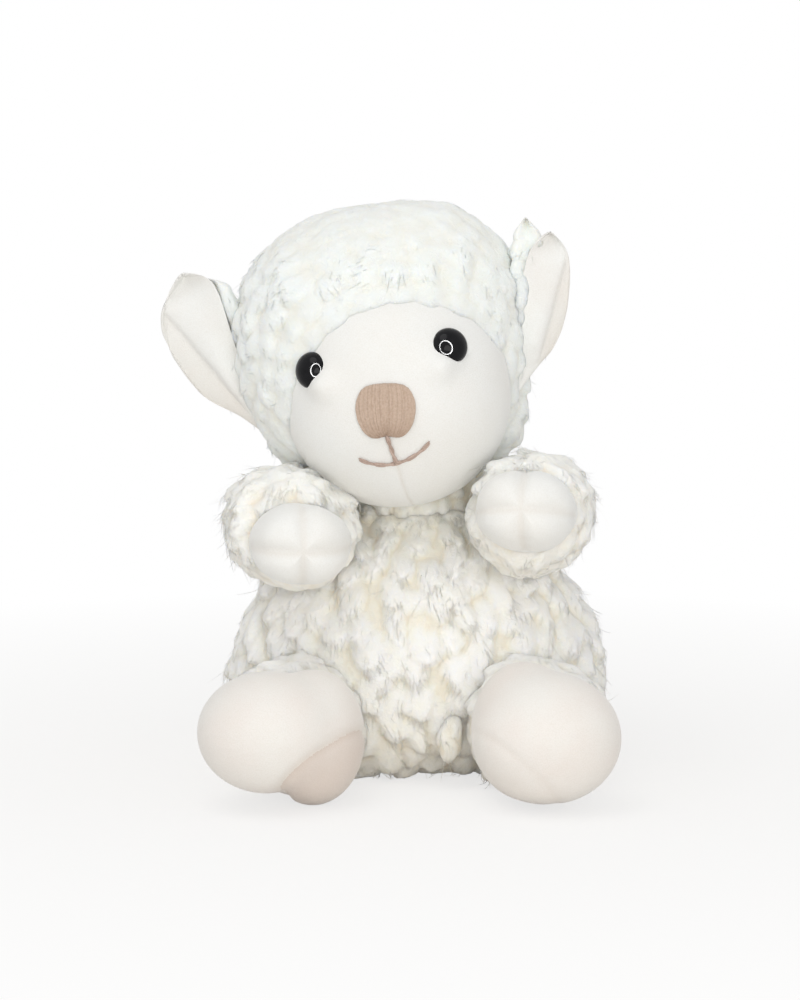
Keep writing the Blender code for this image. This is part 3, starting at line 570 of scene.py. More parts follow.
def thread_material(name, color, dark):
    material, tree, shader = new_material(name)
    strand = noise_texture(tree, 1500, 3.0)
    ramp = color_ramp(tree, strand, [(0.3, dark), (0.65, color)])
    tints = color_ramp(
        tree, attribute(tree, "tint"), [(0.0, (0.82, 0.80, 0.78)), (0.6, WHITE), (1.0, WHITE)]
    )
    base = multiplied(tree, 1.0, ramp, tints)
    # painted shade: the threads darken toward the notch where they gather
    painted_notch_shade = color_ramp(
        tree, attribute(tree, "depth"), [(0.0, (0.62, 0.54, 0.49)), (0.9, WHITE)]
    )
    base = multiplied(tree, 1.0, base, painted_notch_shade)
    set_inputs(tree, shader, {
        "Base Color": base, "Roughness": 0.55, "Specular IOR Level": 0.35, "Sheen Weight": 0.2,
    })
    add_bump(tree, shader, strand, 0.4, 0.0002)
    return material


def gloss_material(name, color):
    material, tree, shader = new_material(name)
    patch = noise_texture(tree, 400, 2.0)
    ramp = color_ramp(
        tree, patch, [(0.3, color), (0.8, tuple(c * 1.6 for c in color))]
    )
    set_inputs(tree, shader, {
        "Base Color": ramp, "Roughness": 0.07, "Specular IOR Level": 0.10,
        "Coat Weight": 0.04, "Coat Roughness": 0.03,
    })
    add_bump(tree, shader, patch, 0.004, 0.0001)
    return material


def plain_material(name, color, dark, scale, roughness):
    material, tree, shader = new_material(name)
    patch = noise_texture(tree, scale, 4.0)
    ramp = color_ramp(tree, patch, [(0.3, dark), (0.7, color)])
    set_inputs(tree, shader, {"Base Color": ramp, "Roughness": roughness})
    add_bump(tree, shader, patch, 0.3, 0.0003)
    return material


WOOL = fleece_material(
    "cream_fleece_wool", (0.965, 0.955, 0.915), (0.955, 0.895, 0.80), (0.99, 0.985, 0.975), True
)
LIMB_WOOL = fleece_material(
    "pale_fleece_wool", (0.94, 0.93, 0.89), (0.925, 0.875, 0.785), (0.985, 0.98, 0.97)
)
# painted light: a cooler copy of the wool for the head and ear backs, tinted for how the light falls on the
# head rather than for a different fleece
HOOD_WOOL = fleece_material(
    "head_fleece_wool_cool_lit_copy", (0.885, 0.925, 0.91), (0.895, 0.905, 0.86), (0.99, 0.99, 0.985)
)
PILE = velboa_material("white_velboa_pile", (0.87, 0.875, 0.86), (0.865, 0.86, 0.835))
EAR_PILE = velboa_material("ear_velboa_pile", (0.86, 0.865, 0.85), (0.85, 0.835, 0.81))
WARM_PILE = velboa_material("cream_velboa_pile", (0.86, 0.84, 0.805), (0.85, 0.805, 0.765))
# painted shade: a darker copy of the feet's pile, used on the right foot's sole, which lies in shade
SHADED_SOLE_PILE = velboa_material("sole_velboa_painted_shade", (0.77, 0.705, 0.655), (0.755, 0.675, 0.62))
TAN = thread_material("tan_satin_thread", (0.585, 0.45, 0.36), (0.50, 0.37, 0.28))
BROWN = thread_material("brown_mouth_thread", (0.56, 0.43, 0.37), (0.48, 0.355, 0.295))
BLACK = gloss_material("black_gloss_eye", (0.006, 0.006, 0.007))
FIBREFILL = plain_material("polyester_fibre_fill", (0.90, 0.90, 0.89), (0.80, 0.80, 0.79), 900, 0.95)
PLASTIC = plain_material("white_washer_plastic", (0.82, 0.82, 0.80), (0.76, 0.76, 0.74), 300, 0.4)


# Surfaces of the torso and the head, in the frame's own place

torso_points, torso_faces = soft_form(BODY_SHARES, BODY_SIZE, 60, 96, floor=BODY_FLOOR)
lift_off_floor(torso_points, 0.0)
crown_points, crown_faces = soft_form(ball_shares(), CROWN_SIZE, 60, 90, centre=CROWN_MIDDLE)
crown_points = moved(crown_points, HEAD)
face_middle = (0, -FACE_REACH, 0)
face_local, face_faces = soft_form(FACE_SHARES, FACE_SIZE, 150, 200, floor=FACE_FLOOR, centre=face_middle)
face_points = moved(face_local, HEAD)

TORSO_TREE = tree_of(torso_points, torso_faces)
CROWN_TREE = tree_of(crown_points, crown_faces)
FACE_TREE = tree_of(face_points, face_faces)


def outside(*tests, above=-1.0):
    """A filter that keeps places above a height, and less deep than a limit in each tree."""

    def keep(places, normals):
        kept = places[:, 2] > above
        for tree, limit in tests:
            left = np.flatnonzero(kept)
            kept[left] = depth_inside(tree, places[left]) < limit
        return kept

    return keep


def fleece_piece(
    label, body, nodes, points, faces, rng, material, look,
    keep=None, trim=None, where=None, hairs=500, reach=0.0042,
):
    """A tufted fleece cover in place of CAD nodes, and the stray fibres on it."""
    coat = woolly(points, faces, rng, keep=keep, trim=trim, where=where, **look)
    shaped, depth, tint = coat[:3]
    lift_off_floor(shaped)
    piece = new_piece(f"{label}_fleece", shaped, faces, material, body, {"depth": depth, "tint": tint})
    if nodes:
        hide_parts(*nodes)
    points, faces, tint = stray_fibres(*coat, rng, hairs, reach, keep)
    layers = {"depth": np.full(len(points), 0.9), "tint": tint}
    new_piece(f"{label}_fibres", points, faces, material, body, layers)


def shrunk(points, faces, inset):
    return points - normals_of(points, faces) * inset


# Torso

rng = np.random.default_rng(11)
torso_keep = outside((FACE_TREE, 0.0), (CROWN_TREE, 0.001), above=0.0015)
dense_points, dense_faces = soft_form(BODY_SHARES, BODY_SIZE, 220, 350, floor=BODY_FLOOR)
dense_points = shrunk(dense_points, dense_faces, 0.0020)
heights = [0.016, 0.034, 0.045, 0.055, 0.066]
right_slim = np.interp(dense_points[:, 2], heights, [0, 0.035, 0.050, 0.065, 0.105])
left_slim = np.interp(dense_points[:, 2], heights, [0, 0.005, 0.020, 0.045, 0.090])
dense_points[:, 0] *= 1 - np.where(dense_points[:, 0] < 0, right_slim, left_slim)
front_low = smooth_step(-dense_points[:, 1], 0.028, 0.040)
front_low *= 1 - smooth_step(dense_points[:, 2], 0.004, 0.016)
dense_points[:, 2] += front_low * (0.0036 + 0.0036 * np.clip(dense_points[:, 0] / 0.02, -1, 1))
lift_off_floor(dense_points)
body_look = dict(
    spacing=0.0074, length=0.0155, width=0.0108, height=0.0043, swirl=0.28, droop=0.7, soft=1.0
)
fleece_piece(
    "body", "torso", ("body_cover", "body_stuffing"), dense_points, dense_faces, rng, WOOL, body_look,
    keep=torso_keep, hairs=15000,
)

tuft_points, tuft_faces = soft_form(ball_shares(), (0.0078, 0.0060, 0.0190), 60, 60)
narrowing = 1 - 0.25 * np.clip(tuft_points[:, 2] / 0.0095, -1, 1)
tuft_points[:, :2] *= narrowing[:, None]
tuft_points = moved(tuft_points, facing((0.0112, -0.0478, 0.0190), (0.02, 0.25, 1)))
tuft_look = dict(spacing=0.0040, length=0.0100, width=0.0046, height=0.0007, swirl=0.2, droop=0.3)
fleece_piece("belly_tuft", "torso", None, tuft_points, tuft_faces, rng, WOOL, tuft_look, hairs=120)

# Head

rng = np.random.default_rng(23)
hood_keep = outside((FACE_TREE, 0.0004), (TORSO_TREE, 0.001))


def near_face(places):
    """Tufts are lower beside the face, and flatter on top of the head."""
    beside = 0.55 + 0.45 * np.clip(-depth_inside(FACE_TREE, places) / 0.008, 0, 1)
    return beside * (1 - 0.70 * smooth_step(places[:, 2], 0.160, 0.182))


dense_points, dense_faces = soft_form(ball_shares(), CROWN_SIZE, 180, 300, centre=CROWN_MIDDLE)
directions = unit(dense_points / (np.array(CROWN_SIZE) / 2))
corner = np.clip(2.2 * np.abs(directions[:, 0]) * directions[:, 2], 0, 1) ** 1.5
corner *= np.clip(1 - np.abs(directions[:, 1]), 0, 1) ** 0.5
dense_points += directions * (corner * np.where(directions[:, 0] > 0, 0.0052, 0.0024))[:, None]
dense_points = shrunk(moved(dense_points, HEAD), dense_faces, 0.0012)
bulges = (((0.030, 0.002, 0.112), 0.0095, 0.013), ((-0.036, 0.000, 0.104), 0.0035, 0.012))
for place, reach, width in bulges:
    away = np.linalg.norm(dense_points - np.array(place), axis=1)
    dense_points += directions * (reach * np.exp(-((away / width) ** 2)))[:, None]
hood_look = dict(spacing=0.0070, length=0.0130, width=0.0112, height=0.0023, swirl=0.7, droop=0.5)
fleece_piece(
    "hood", "head", ("head_hood", "head_stuffing"), dense_points, dense_faces, rng, HOOD_WOOL, hood_look,
    keep=hood_keep, trim=near_face, hairs=3000, reach=0.0030,
)

in_front = face_local[:, 1] < -0.01
face_seam = np.exp(-((face_local[:, 0] / 0.0006) ** 2)) * (face_local[:, 2] < -0.0352) * in_front
face_normals = normals_of(face_points, face_faces)
face_skin = face_points - face_normals * (face_seam * 0.0004)[:, None]
for x, z in ((-0.0191, -0.0064), (0.0190, -0.0068)):
    away = np.hypot(face_local[:, 0] - x, face_local[:, 2] - z)
    swelling = 0.0034 * np.exp(-((away / 0.0045) ** 2)) * in_front
    face_skin += face_normals * swelling[:, None]
# the chin seam's groove is painted darker as shade through the seam layer
velboa_piece("face_velboa", face_skin, face_faces, PILE, "head", "face_panel", face_seam * 0.25)


# Neck: fleece around the joint, seen between the head and the shoulders

rng = np.random.default_rng(31)
NECK_SIZE = (0.048, 0.042, 0.030)
neck_points, neck_faces = soft_form(ball_shares(), NECK_SIZE, 90, 140, centre=(0, 0.001, 0.091))
neck_look = dict(spacing=0.0050, length=0.0100, width=0.0070, height=0.0030, swirl=0.5, droop=0.4)
fleece_piece(
    "neck", "neck", ("neck_stuffing",), neck_points, neck_faces, rng, WOOL, neck_look, hairs=500,
)


# Eyes: a glossy dome on each shank


def turned(profile, columns):
    """A surface turned about Z from (radius, height) points, closed at both ends on the axis."""
    radius, height = np.array(profile).T
    points = ring_stack(radius, radius, height, columns)
    return points, rows_and_columns(len(profile) - 2, columns)[:, ::-1]


def face_point(x, z):
    """The point of the face at the head's own x and z, and the normal there."""
    origin = HEAD @ Vector((x, -0.12, z))
    direction = (HEAD.to_3x3() @ Vector((0, 1, 0))).normalized()
    return FACE_TREE.ray_cast(origin, direction)[:2]


EYE_OUT = 0.023
EYE_UP = -0.0008
EYE_RADIUS = 0.006
EYE_DOME = 0.0046
EYE_BACK = -0.0010
SHANK_RADIUS = 0.0020
SHANK_LONG = 0.012
eyes = bpy.data.collections.new("eyes")
for label, pose in SIDES.items():
    place = facing(*face_point(pose["side"] * EYE_OUT, EYE_UP))
    turns = np.linspace(0, math.pi / 2, 18)
    dome = [(EYE_RADIUS * math.sin(a), -0.0007 + EYE_DOME * math.cos(a)) for a in turns]
    rim = [(EYE_RADIUS - 0.0002, EYE_BACK), (SHANK_RADIUS, EYE_BACK)]
    profile = dome + rim + [(SHANK_RADIUS, -SHANK_LONG), (0, -SHANK_LONG)]
    points, faces = turned(profile, 56)
    eye = new_piece(f"eye_dome_{label}", moved(points, place), faces, BLACK, "head")
    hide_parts(f"eye_{label}")
    eyes.objects.link(eye)


# Thread: round tubes laid on the face


def on_face(x, z, lift):
    point, normal = face_point(x, z)
    return np.array(point + normal * lift)


def add_tube(bundle, path, radius, tint, sides=7, depth=1.0):
    """A round thread along points, closed at both ends; depth is 0 where the threads gather and the colour is
    painted darker as shade.
    """
    path = np.asarray(path, float)
    heading = unit(np.gradient(path, axis=0))
    across = unit(np.cross(heading, np.array([0.03, 0.99, 0.1])))
    third = np.cross(across, heading)
    around = circle(sides)
    radii = np.broadcast_to(radius, len(path))
    spokes = across[:, None, :] * np.cos(around)[None, :, None]
    spokes = spokes + third[:, None, :] * np.sin(around)[None, :, None]
    rings = (path[:, None, :] + spokes * radii[:, None, None]).reshape(-1, 3)
    points = np.vstack([path[:1], rings, path[-1:]])
    faces = rows_and_columns(len(path), sides)
    depths = np.broadcast_to(depth, len(path))
    depths = np.concatenate([depths[:1], np.repeat(depths, sides), depths[-1:]])
    bundle.add(points, faces, depths, tint)


NOSE_HALF = 0.0095
NOSE_TALL = 0.0086
NOSE_MIDDLE = -0.0173
NOSE_TURN = math.radians(7)
turn_cos, turn_sin = math.cos(NOSE_TURN), math.sin(NOSE_TURN)
rng = np.random.default_rng(5)
nose = Bundle()
threads = 54
# painted shade is strongest where the threads gather at the notch
notch_shade_depth = np.interp(np.linspace(0, 1, 24), [0, 0.45, 0.8, 1], [1, 0.92, 0.45, 0])
for number in range(threads):
    share = -1 + 2 * (number + 0.5) / threads
    spread = abs(share)
    top_z = float(np.interp(spread, [0, 0.4, 0.7, 0.88, 0.96, 1.0], [1.02, 1.0, 0.93, 0.80, 0.66, 0.50]))
    belly = -1.02 - 0.36 * spread if spread > 0.12 else -0.85
    knots = np.array(
        [(share * 0.90, top_z), (share * 1.22, 0.20), (share * 0.82, belly), (share * 0.05, -0.80)]
    )
    path = []
    for t in np.linspace(0, 1, 24):
        weights = np.array([(1 - t) ** 3, 3 * t * (1 - t) ** 2, 3 * t * t * (1 - t), t**3])
        x, z = weights @ knots
        crown = 0.0014 * math.sin(math.pi * (t * 0.84 + 0.05)) ** 0.6 * (1 - 0.5 * spread**3)
        x, z = x * NOSE_HALF * 0.97, z * NOSE_TALL
        x, z = x * turn_cos + z * turn_sin, z * turn_cos - x * turn_sin
        path.append(on_face(x, z + NOSE_MIDDLE, 0.0003 + crown + rng.uniform(-0.00012, 0.00012)))
    add_tube(nose, path, 0.00034, rng.random(), depth=notch_shade_depth)
nose_piece = nose.piece("nose_satin_stitch", TAN, "head")
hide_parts("nose_stitching")

mouth = Bundle()


def stitch(points_xz, radius, lift=0.0005):
    add_tube(mouth, [on_face(x, z, lift) for x, z in points_xz], radius, rng.random())


def lip(share):
    return share * 0.0116, -0.0342 + 0.0040 * abs(share) ** 2.2 + 0.0008 * share


STITCH_TAPER = np.array([0.5, 0.9, 1, 1, 1, 0.9, 0.5])
stitches = 9
for number in range(stitches):
    a = -1 + 2 * (number - 0.22) / stitches
    b = -1 + 2 * (number + 1.16) / stitches
    shares = np.linspace(max(a, -1), min(b, 1), 7)
    for strand in (-1, 1):
        wobble = strand * (0.00020 + 0.00012 * (-1) ** number)
        stitch([(lip(s)[0], lip(s)[1] + wobble) for s in shares], 0.00040 * STITCH_TAPER)
top = NOSE_MIDDLE - NOSE_TALL * 0.84
for twist in (0, math.pi):
    path = []
    for t in np.linspace(0, 1, 18):
        x = 0.00032 * math.sin(twist + t * 9) - 0.0010 * (1 - t)
        z = top + (-0.0340 - top) * t
        lift = 0.0007 + 0.00032 * math.cos(twist + t * 9)
        path.append(on_face(x, z, lift))
    add_tube(mouth, path, 0.00045, rng.random())
mouth_piece = mouth.piece("mouth_thread", BROWN, "head")
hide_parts("mouth_stitching")


# Ears

EAR_LINES = {
    "right": {
        "lining": (
            [-5.5, 0, 5, 8.5, 12.5, 17.5, 25, 34, 42, 48, 52.0, 54.3, 55.2],
            [1.5, 3.0, 4.8, 7.0, 9.8, 12.0, 13.0, 13.2, 11.8, 8.8, 4.8, 1.0, -1.4],
            [-1.5, -3.0, -4.2, -4.6, -4.6, -5.0, -6.6, -9.2, -11.4, -12.4, -11.4, -9.2, -7.4],
        ),
        "back": (
            [-5.5, 0, 5, 12.5, 25, 34, 42, 47, 50, 51],
            [1.0, 2.0, 3.0, 5.0, 7.5, 8.0, 7.0, 3.0, -3.0, -6.0],
            [-1.5, -3.0, -4.4, -6.4, -9.8, -13.0, -14.6, -14.4, -12.6, -10.0],
        ),
        "cover": 0.3,
        "crease": (7.6, 2.6),
    },
    "left": {
        "lining": (
            [-5.5, 0, 4.5, 9.5, 17, 25, 33, 38, 42, 45.5, 47.6, 48.4],
            [1.5, 3.8, 6.3, 9.8, 12.5, 13.4, 13.1, 12.6, 11.8, 10.2, 8.4, 7.0],
            [-1.5, -2.6, -3.0, -3.0, -3.0, -3.0, -2.6, -2.2, -1.6, 0.0, 1.4, 2.4],
        ),
        "back": (
            [-5.5, 0, 4.5, 9.5, 17, 25, 33, 40, 45, 48, 50.5, 52.0],
            [1.0, 2.4, 4.0, 6.0, 7.5, 8.0, 7.0, 5.0, 2.6, 0.6, -1.0, -2.4],
            [-1.5, -3.0, -4.0, -4.8, -5.6, -6.2, -6.4, -6.6, -6.6, -6.4, -6.2, -6.0],
        ),
        "cover": 3.6,
        "crease": (11.8, 7.0),
    },
}


def smooth_line(wanted, along, across):
    """A table's values with their corners rounded."""
    fine = np.linspace(along[0], along[-1], 241)
    values = np.interp(fine, along, across)
    for _ in range(2):
        padded = np.pad(values, 6, mode="edge")
        values[1:-1] = np.convolve(padded, np.ones(13) / 13, "valid")[1:-1]
    return np.interp(wanted, fine, values)


def fleece_edge(label, along):
    """How far across, in mm, the fleece shows in front of the lining."""
    table = EAR_LINES[label]["lining"]
    return smooth_line(along, table[0], table[2]) + EAR_LINES[label]["cover"]


def ear_surface(label, layer, side, low, high, rows, columns):
    """A cupped, stuffed leaf in the ear's own frame; the lining has a fold between its roll and its strip."""
    along, outer, inner = EAR_LINES[label][layer]
    t = (1 - np.cos(np.pi * np.arange(1, rows + 1) / (rows + 1))) / 2
    reach = along[0] + t * (along[-1] - along[0])
    right = smooth_line(reach, along, outer)[:, None]
    left = smooth_line(reach, along, inner)[:, None]
    around = circle(columns)
    across = np.sign(np.cos(around)) * np.abs(np.cos(around)) ** 0.85
    through = np.sin(around)
    rounding = ((1 - np.abs(2 * t - 1) ** 9) ** 0.5)[:, None]
    middle, half = (right + left) / 2, (right - left) / 2 * rounding
    x = middle + half * across
    z = np.repeat(reach[:, None], columns, axis=1)
    cup = 5.0 * np.clip(z / 50, 0, 1) * (across**2 - 0.5)
    thick = ((1 - np.abs(2 * t - 1) ** 4) ** 0.5)[:, None]
    low, high = low * 1000, high * 1000
    front = (low + high) / 2 + through * thick * (high - low) / 2
    if layer == "lining":
        bottom, top = EAR_LINES[label]["crease"][1], EAR_LINES[label]["crease"][0]
        fold = np.clip(bottom + (top - bottom) * (z - 11) / 35, left + 1, right - 1.5)
        roll = np.clip((fold - x) / (fold - left), 0, 1)
        strip = np.clip((x - fold) / (right - fold), 0, 1)
        lobe = np.where(
            x < fold, 2.6 * np.sin(math.pi * roll**0.62), 0.6 * np.sin(math.pi * strip) - 1.6 * strip**0.5
        )
        calm = np.clip((z - 3) / 8, 0, 1) * np.clip((along[-1] - z) / 9, 0, 1)
        front += (through > 0) * thick * calm * lobe * np.abs(through) ** 0.3
    else:
        edge = fleece_edge(label, z)
        roll = np.clip((edge + 1.2 - x) / 2.4, 0, 1) * np.clip(z / 8, 0, 1)
        front += np.maximum(through, 0) ** 0.6 * thick * 4.6 * roll
    points = np.stack([side * x, -(cup + front), z], axis=-1).reshape(-1, 3)
    rings = points.reshape(rows, columns, 3)
    ends = [[*rings[0].mean(axis=0)[:2], along[0]], [*rings[-1].mean(axis=0)[:2], along[-1]]]
    points = np.vstack([ends[:1], points, ends[1:]]) / 1000
    return points, rows_and_columns(rows, columns)[:, :: (1 if side < 0 else -1)]


clear_of_crown = outside((CROWN_TREE, 0.0))
ear_look = dict(spacing=0.0048, length=0.0100, width=0.0078, height=0.0019, swirl=0.5, droop=0.3)

for number, (label, pose) in enumerate(SIDES.items()):
    rng = np.random.default_rng(40 + number)
    place = ear_frame(label)
    body = f"ear_{label}"
    side = pose["side"]
    points, faces = ear_surface(label, "lining", side, 0.0002, 0.0036, 90, 120)
    world = moved(points, place)
    puff = value_noise(points, 0.011, 8) * 0.0005
    world += normals_of(world, faces) * puff[:, None]
    low_fold, high_fold = EAR_LINES[label]["crease"][::-1]
    fold = low_fold + (high_fold - low_fold) * (points[:, 2] * 1000 - 11) / 35
    # painted shade on the lining's outer strip past the fold, fading toward the tip, passed on in the seam
    # layer
    strip = np.clip((side * points[:, 0] * 1000 - fold) / 1.5 + 0.5, 0, 1)
    strip *= np.clip(1.4 - points[:, 2] / 0.045, 0, 1)
    node = f"ear_lining_{label}"
    velboa_piece(f"ear_lining_velboa_{label}", world, faces, EAR_PILE, body, node, strip * 0.30)
    points, faces = ear_surface(label, "back", side, -0.0030, -0.0002, 110, 130)
    points = moved(points, place)
    front = np.array(place.to_3x3() @ Vector((0, -1, 0)))
    back = np.linalg.inv(np.array(place.to_3x3()))
    tip = EAR_LINES[label]["back"][0][-1]

    def ear_keep(places, normals):
        local = (places - np.array(place.translation)) @ back.T * 1000
        kept = (normals @ front < 0.25) | (side * local[:, 0] < fleece_edge(label, local[:, 2]) - 0.5)
        return kept & clear_of_crown(places, normals)

    def fleecy_side(places, normals):
        behind = np.clip((0.15 - normals @ front) / 0.35, 0, 1)
        local = (places - np.array(place.translation)) @ back.T * 1000
        medial = np.clip((fleece_edge(label, local[:, 2]) + 0.8 - side * local[:, 0]) / 2, 0, 1)
        return np.maximum(behind, 0.6 * medial) * np.clip((tip - local[:, 2]) / 8, 0.04, 1)

    fleece_piece(
        f"ear_back_{label}", body, (f"ear_back_{label}",), points, faces, rng, HOOD_WOOL, ear_look,
        keep=ear_keep, where=fleecy_side, hairs=120, reach=0.0028,
    )


# Arms

limb_look = dict(spacing=0.0058, length=0.0145, width=0.0100, height=0.0040, swirl=0.4, droop=0.6)


SLEEVE_SIZE = (0.0375, 0.0375, 0.0555)
SLEEVE_FLOOR = -0.0155
PAW_SIZE = (0.0325, 0.0262, 0.030)
PAW_AHEAD = 0.0400


def grooved(points, faces, lines, depth):
    """Sinks seam lines into a surface; lines holds the distance of each point from each seam."""
    seam = np.zeros(len(points))
    for distance, width in lines:
        seam = np.maximum(seam, np.exp(-((distance / width) ** 2)))
    return points - normals_of(points, faces) * (seam * depth)[:, None], seam


for number, (label, pose) in enumerate(SIDES.items()):
    rng = np.random.default_rng(60 + number)
    place = arm_frame(label)
    body = f"arm_{label}"
    sleeve_points, sleeve_faces = soft_form(SLEEVE_SHARES, SLEEVE_SIZE, 100, 130, floor=SLEEVE_FLOOR)
    sleeve_points = moved(sleeve_points, place)
    paw_points, paw_faces = soft_form(ball_shares(), PAW_SIZE, 70, 110, centre=(0, 0, PAW_AHEAD))
    paw_tree = tree_of(moved(paw_points, place), paw_faces)
    keep = outside(
        (TORSO_TREE, JUST_INSIDE), (paw_tree, JUST_INSIDE), (FACE_TREE, -0.001), (CROWN_TREE, -0.001)
    )
    base = shrunk(sleeve_points, sleeve_faces, 0.0010)
    outer_share = smooth_step(pose["side"] * (base[:, 0] - place.translation.x), -0.010, 0.014)
    base += outer_share[:, None] * np.array([pose["side"] * pose["sleeve_out"], 0, 0.0022])
    axis_height = place.translation.z

    def upper_side(places):
        return 0.75 + 0.45 * np.clip((places[:, 2] - axis_height) / 0.019, -1, 1)

    fleece_piece(
        f"sleeve_{label}", body, (f"arm_sleeve_{label}", f"arm_stuffing_{label}"), base, sleeve_faces, rng,
        LIMB_WOOL, limb_look, keep=keep, trim=upper_side, hairs=2400,
    )

    middle = paw_points - np.array([0, 0, PAW_AHEAD])
    lumps = value_noise(paw_points + 7 * number, 0.009, 3 + number)
    paw_points = paw_points + normals_of(paw_points, paw_faces) * (lumps * 0.0006)[:, None]
    front = middle[:, 2] > 0
    radius = np.clip(np.hypot(middle[:, 0], middle[:, 1]) / 0.010, 0, 1)
    quarter = np.abs(np.sin(2 * np.arctan2(middle[:, 1], middle[:, 0])))
    quarter *= np.clip(middle[:, 2] / 0.010, 0, 1)
    quarter *= radius**2 * (3 - 2 * radius)
    paw_points = paw_points + normals_of(paw_points, paw_faces) * (quarter * 0.0013)[:, None]
    lines = [(np.where(front, middle[:, 0], 1), 0.0022), (np.where(front, middle[:, 1] + 0.001, 1), 0.0026)]
    paw_points, seam = grooved(paw_points, paw_faces, lines, 0.0009)
    paw_points = moved(paw_points, place)
    # the seam grooves are painted darker as shade through the seam layer
    velboa_piece(f"paw_velboa_{label}", paw_points, paw_faces, PILE, body, f"paw_{label}", seam**4 * 0.22)


# Legs and feet


HIP_HEIGHT = 0.0215
LEG_SIZE = (0.041, 0.041, 0.043)
LEG_FLOOR = -0.019
TOE_AHEAD = 0.0330
TOE_LONG = 0.0420
HEEL_AHEAD = 0.0230
HEEL_SIZE = (0.0330, 0.0430, 0.0400)


def foot_surface(pose, rows=110, columns=150):
    """The toe and heel balls as one soft closed form, seen from a middle point."""
    side = pose["side"]
    toe = np.array([side * pose["toe_out"], pose["toe_up"], TOE_AHEAD])
    toe_half = np.array([pose["toe_wide"], pose["toe_tall"], TOE_LONG]) / 2
    heel_height = HEEL_SIZE[1] / 2 + BODY_FLOOR - HIP_HEIGHT + pose["heel_up"]
    heel = np.array([-side * pose["heel_in"], heel_height, HEEL_AHEAD])
    heel_half = np.array(HEEL_SIZE) / 2
    middle = (toe + heel) / 2
    directions, faces = soft_form(ball_shares(), (2, 2, 2), rows, columns)
    directions = unit(directions)

    def reach(centre, half):
        start = (middle - centre) / half
        step = directions / half
        a = (step * step).sum(axis=1)
        b = (step * start).sum(axis=1)
        c = (start * start).sum() - 1
        return (-b + np.sqrt(np.maximum(b * b - a * c, 0))) / a

    first, second = reach(toe, toe_half), reach(heel, heel_half)
    soft = 0.0018
    distance = np.maximum(first, second)
    distance += soft * np.log1p(np.exp(-np.abs(first - second) / soft))
    points = middle + directions * distance[:, None]
    return points, faces, toe, heel


for number, (label, pose) in enumerate(SIDES.items()):
    rng = np.random.default_rng(80 + number)
    place = leg_frame(label)
    body = f"leg_{label}"
    side = pose["side"]
    foot_points, foot_faces, toe, heel = foot_surface(pose)
    tilt, front = math.radians(43), math.radians(17)
    down = Vector((-side * math.sin(tilt), -math.cos(tilt), math.tan(front))).normalized()
    plane = (foot_points - (toe + heel) / 2) @ np.array(down) - 0.0135
    foot_points, seam = grooved(foot_points, foot_faces, [(plane, 0.0015)], pose["seam"])
    world = moved(foot_points, place)
    lift_off_floor(world, 0.0)
    uppers = plane[foot_faces].mean(axis=1) < 0
    for part, chosen in (("foot_upper", uppers), ("foot_sole", ~uppers)):
        used, index = np.unique(foot_faces[chosen], return_inverse=True)
        faces = index.reshape(-1, 3)
        # the right sole takes the darker pile as painted shade
        pile = SHADED_SOLE_PILE if part == "foot_sole" and label == "right" else WARM_PILE
        # painted shade along the seam between sole and upper, deeper where the groove is deeper
        dark = seam[used] ** 2 * pose["seam"] * 250
        velboa_piece(f"{part}_velboa_{label}", world[used], faces, pile, body, f"{part}_{label}", dark)

    leg_points, leg_faces = soft_form(LEG_SHARES, LEG_SIZE, 90, 140, floor=LEG_FLOOR)
    leg_points = moved(leg_points, place)
    lift_off_floor(leg_points, 0.0004)
    foot_tree = tree_of(world, foot_faces)
    keep = outside((TORSO_TREE, JUST_INSIDE), (foot_tree, JUST_INSIDE))
    base = shrunk(leg_points, leg_faces, 0.0010)
    under_toe = smooth_step(-base[:, 1], 0.048, 0.058) * (1 - smooth_step(base[:, 2], 0.002, 0.014))
    base[:, 2] = np.maximum(base[:, 2], 0.0004) + 0.005 * under_toe
    fleece_piece(
        f"leg_{label}", body, (f"leg_sleeve_{label}", f"leg_stuffing_{label}"), base, leg_faces, rng,
        WOOL, limb_look, keep=keep, hairs=1800,
    )


# Tail

rng = np.random.default_rng(99)
TAIL_SIZE = (0.017, 0.017, 0.031)
tail_points, tail_faces = soft_form(LEG_SHARES, TAIL_SIZE, 60, 70, floor=-0.007)
tail_points = moved(tail_points, tail_frame())
tail_base = shrunk(tail_points, tail_faces, 0.001)
fleece_piece(
    "tail", "tail", ("tail",), tail_base, tail_faces, rng, WOOL, limb_look,
    keep=outside((TORSO_TREE, JUST_INSIDE)), hairs=900,
)

# What stays from the CAD

for name, obj in frame["nodes"].items():
    obj.data.materials.clear()
    obj.data.materials.append(PLASTIC if "washer" in name else FIBREFILL)


# Studio


def shown_rays(tree):
    """1 for the rays that show the background: from the camera, off a gloss, or through something clear."""
    rays = add_node(tree, "LightPath", "Is Camera Ray", {}).node.outputs
    total = rays["Is Camera Ray"]
    for name in ("Is Glossy Ray", "Is Transmission Ray"):
        total = add_node(tree, "Math", "Value", {0: total, 1: rays[name]}, operation="MAXIMUM")
    return total


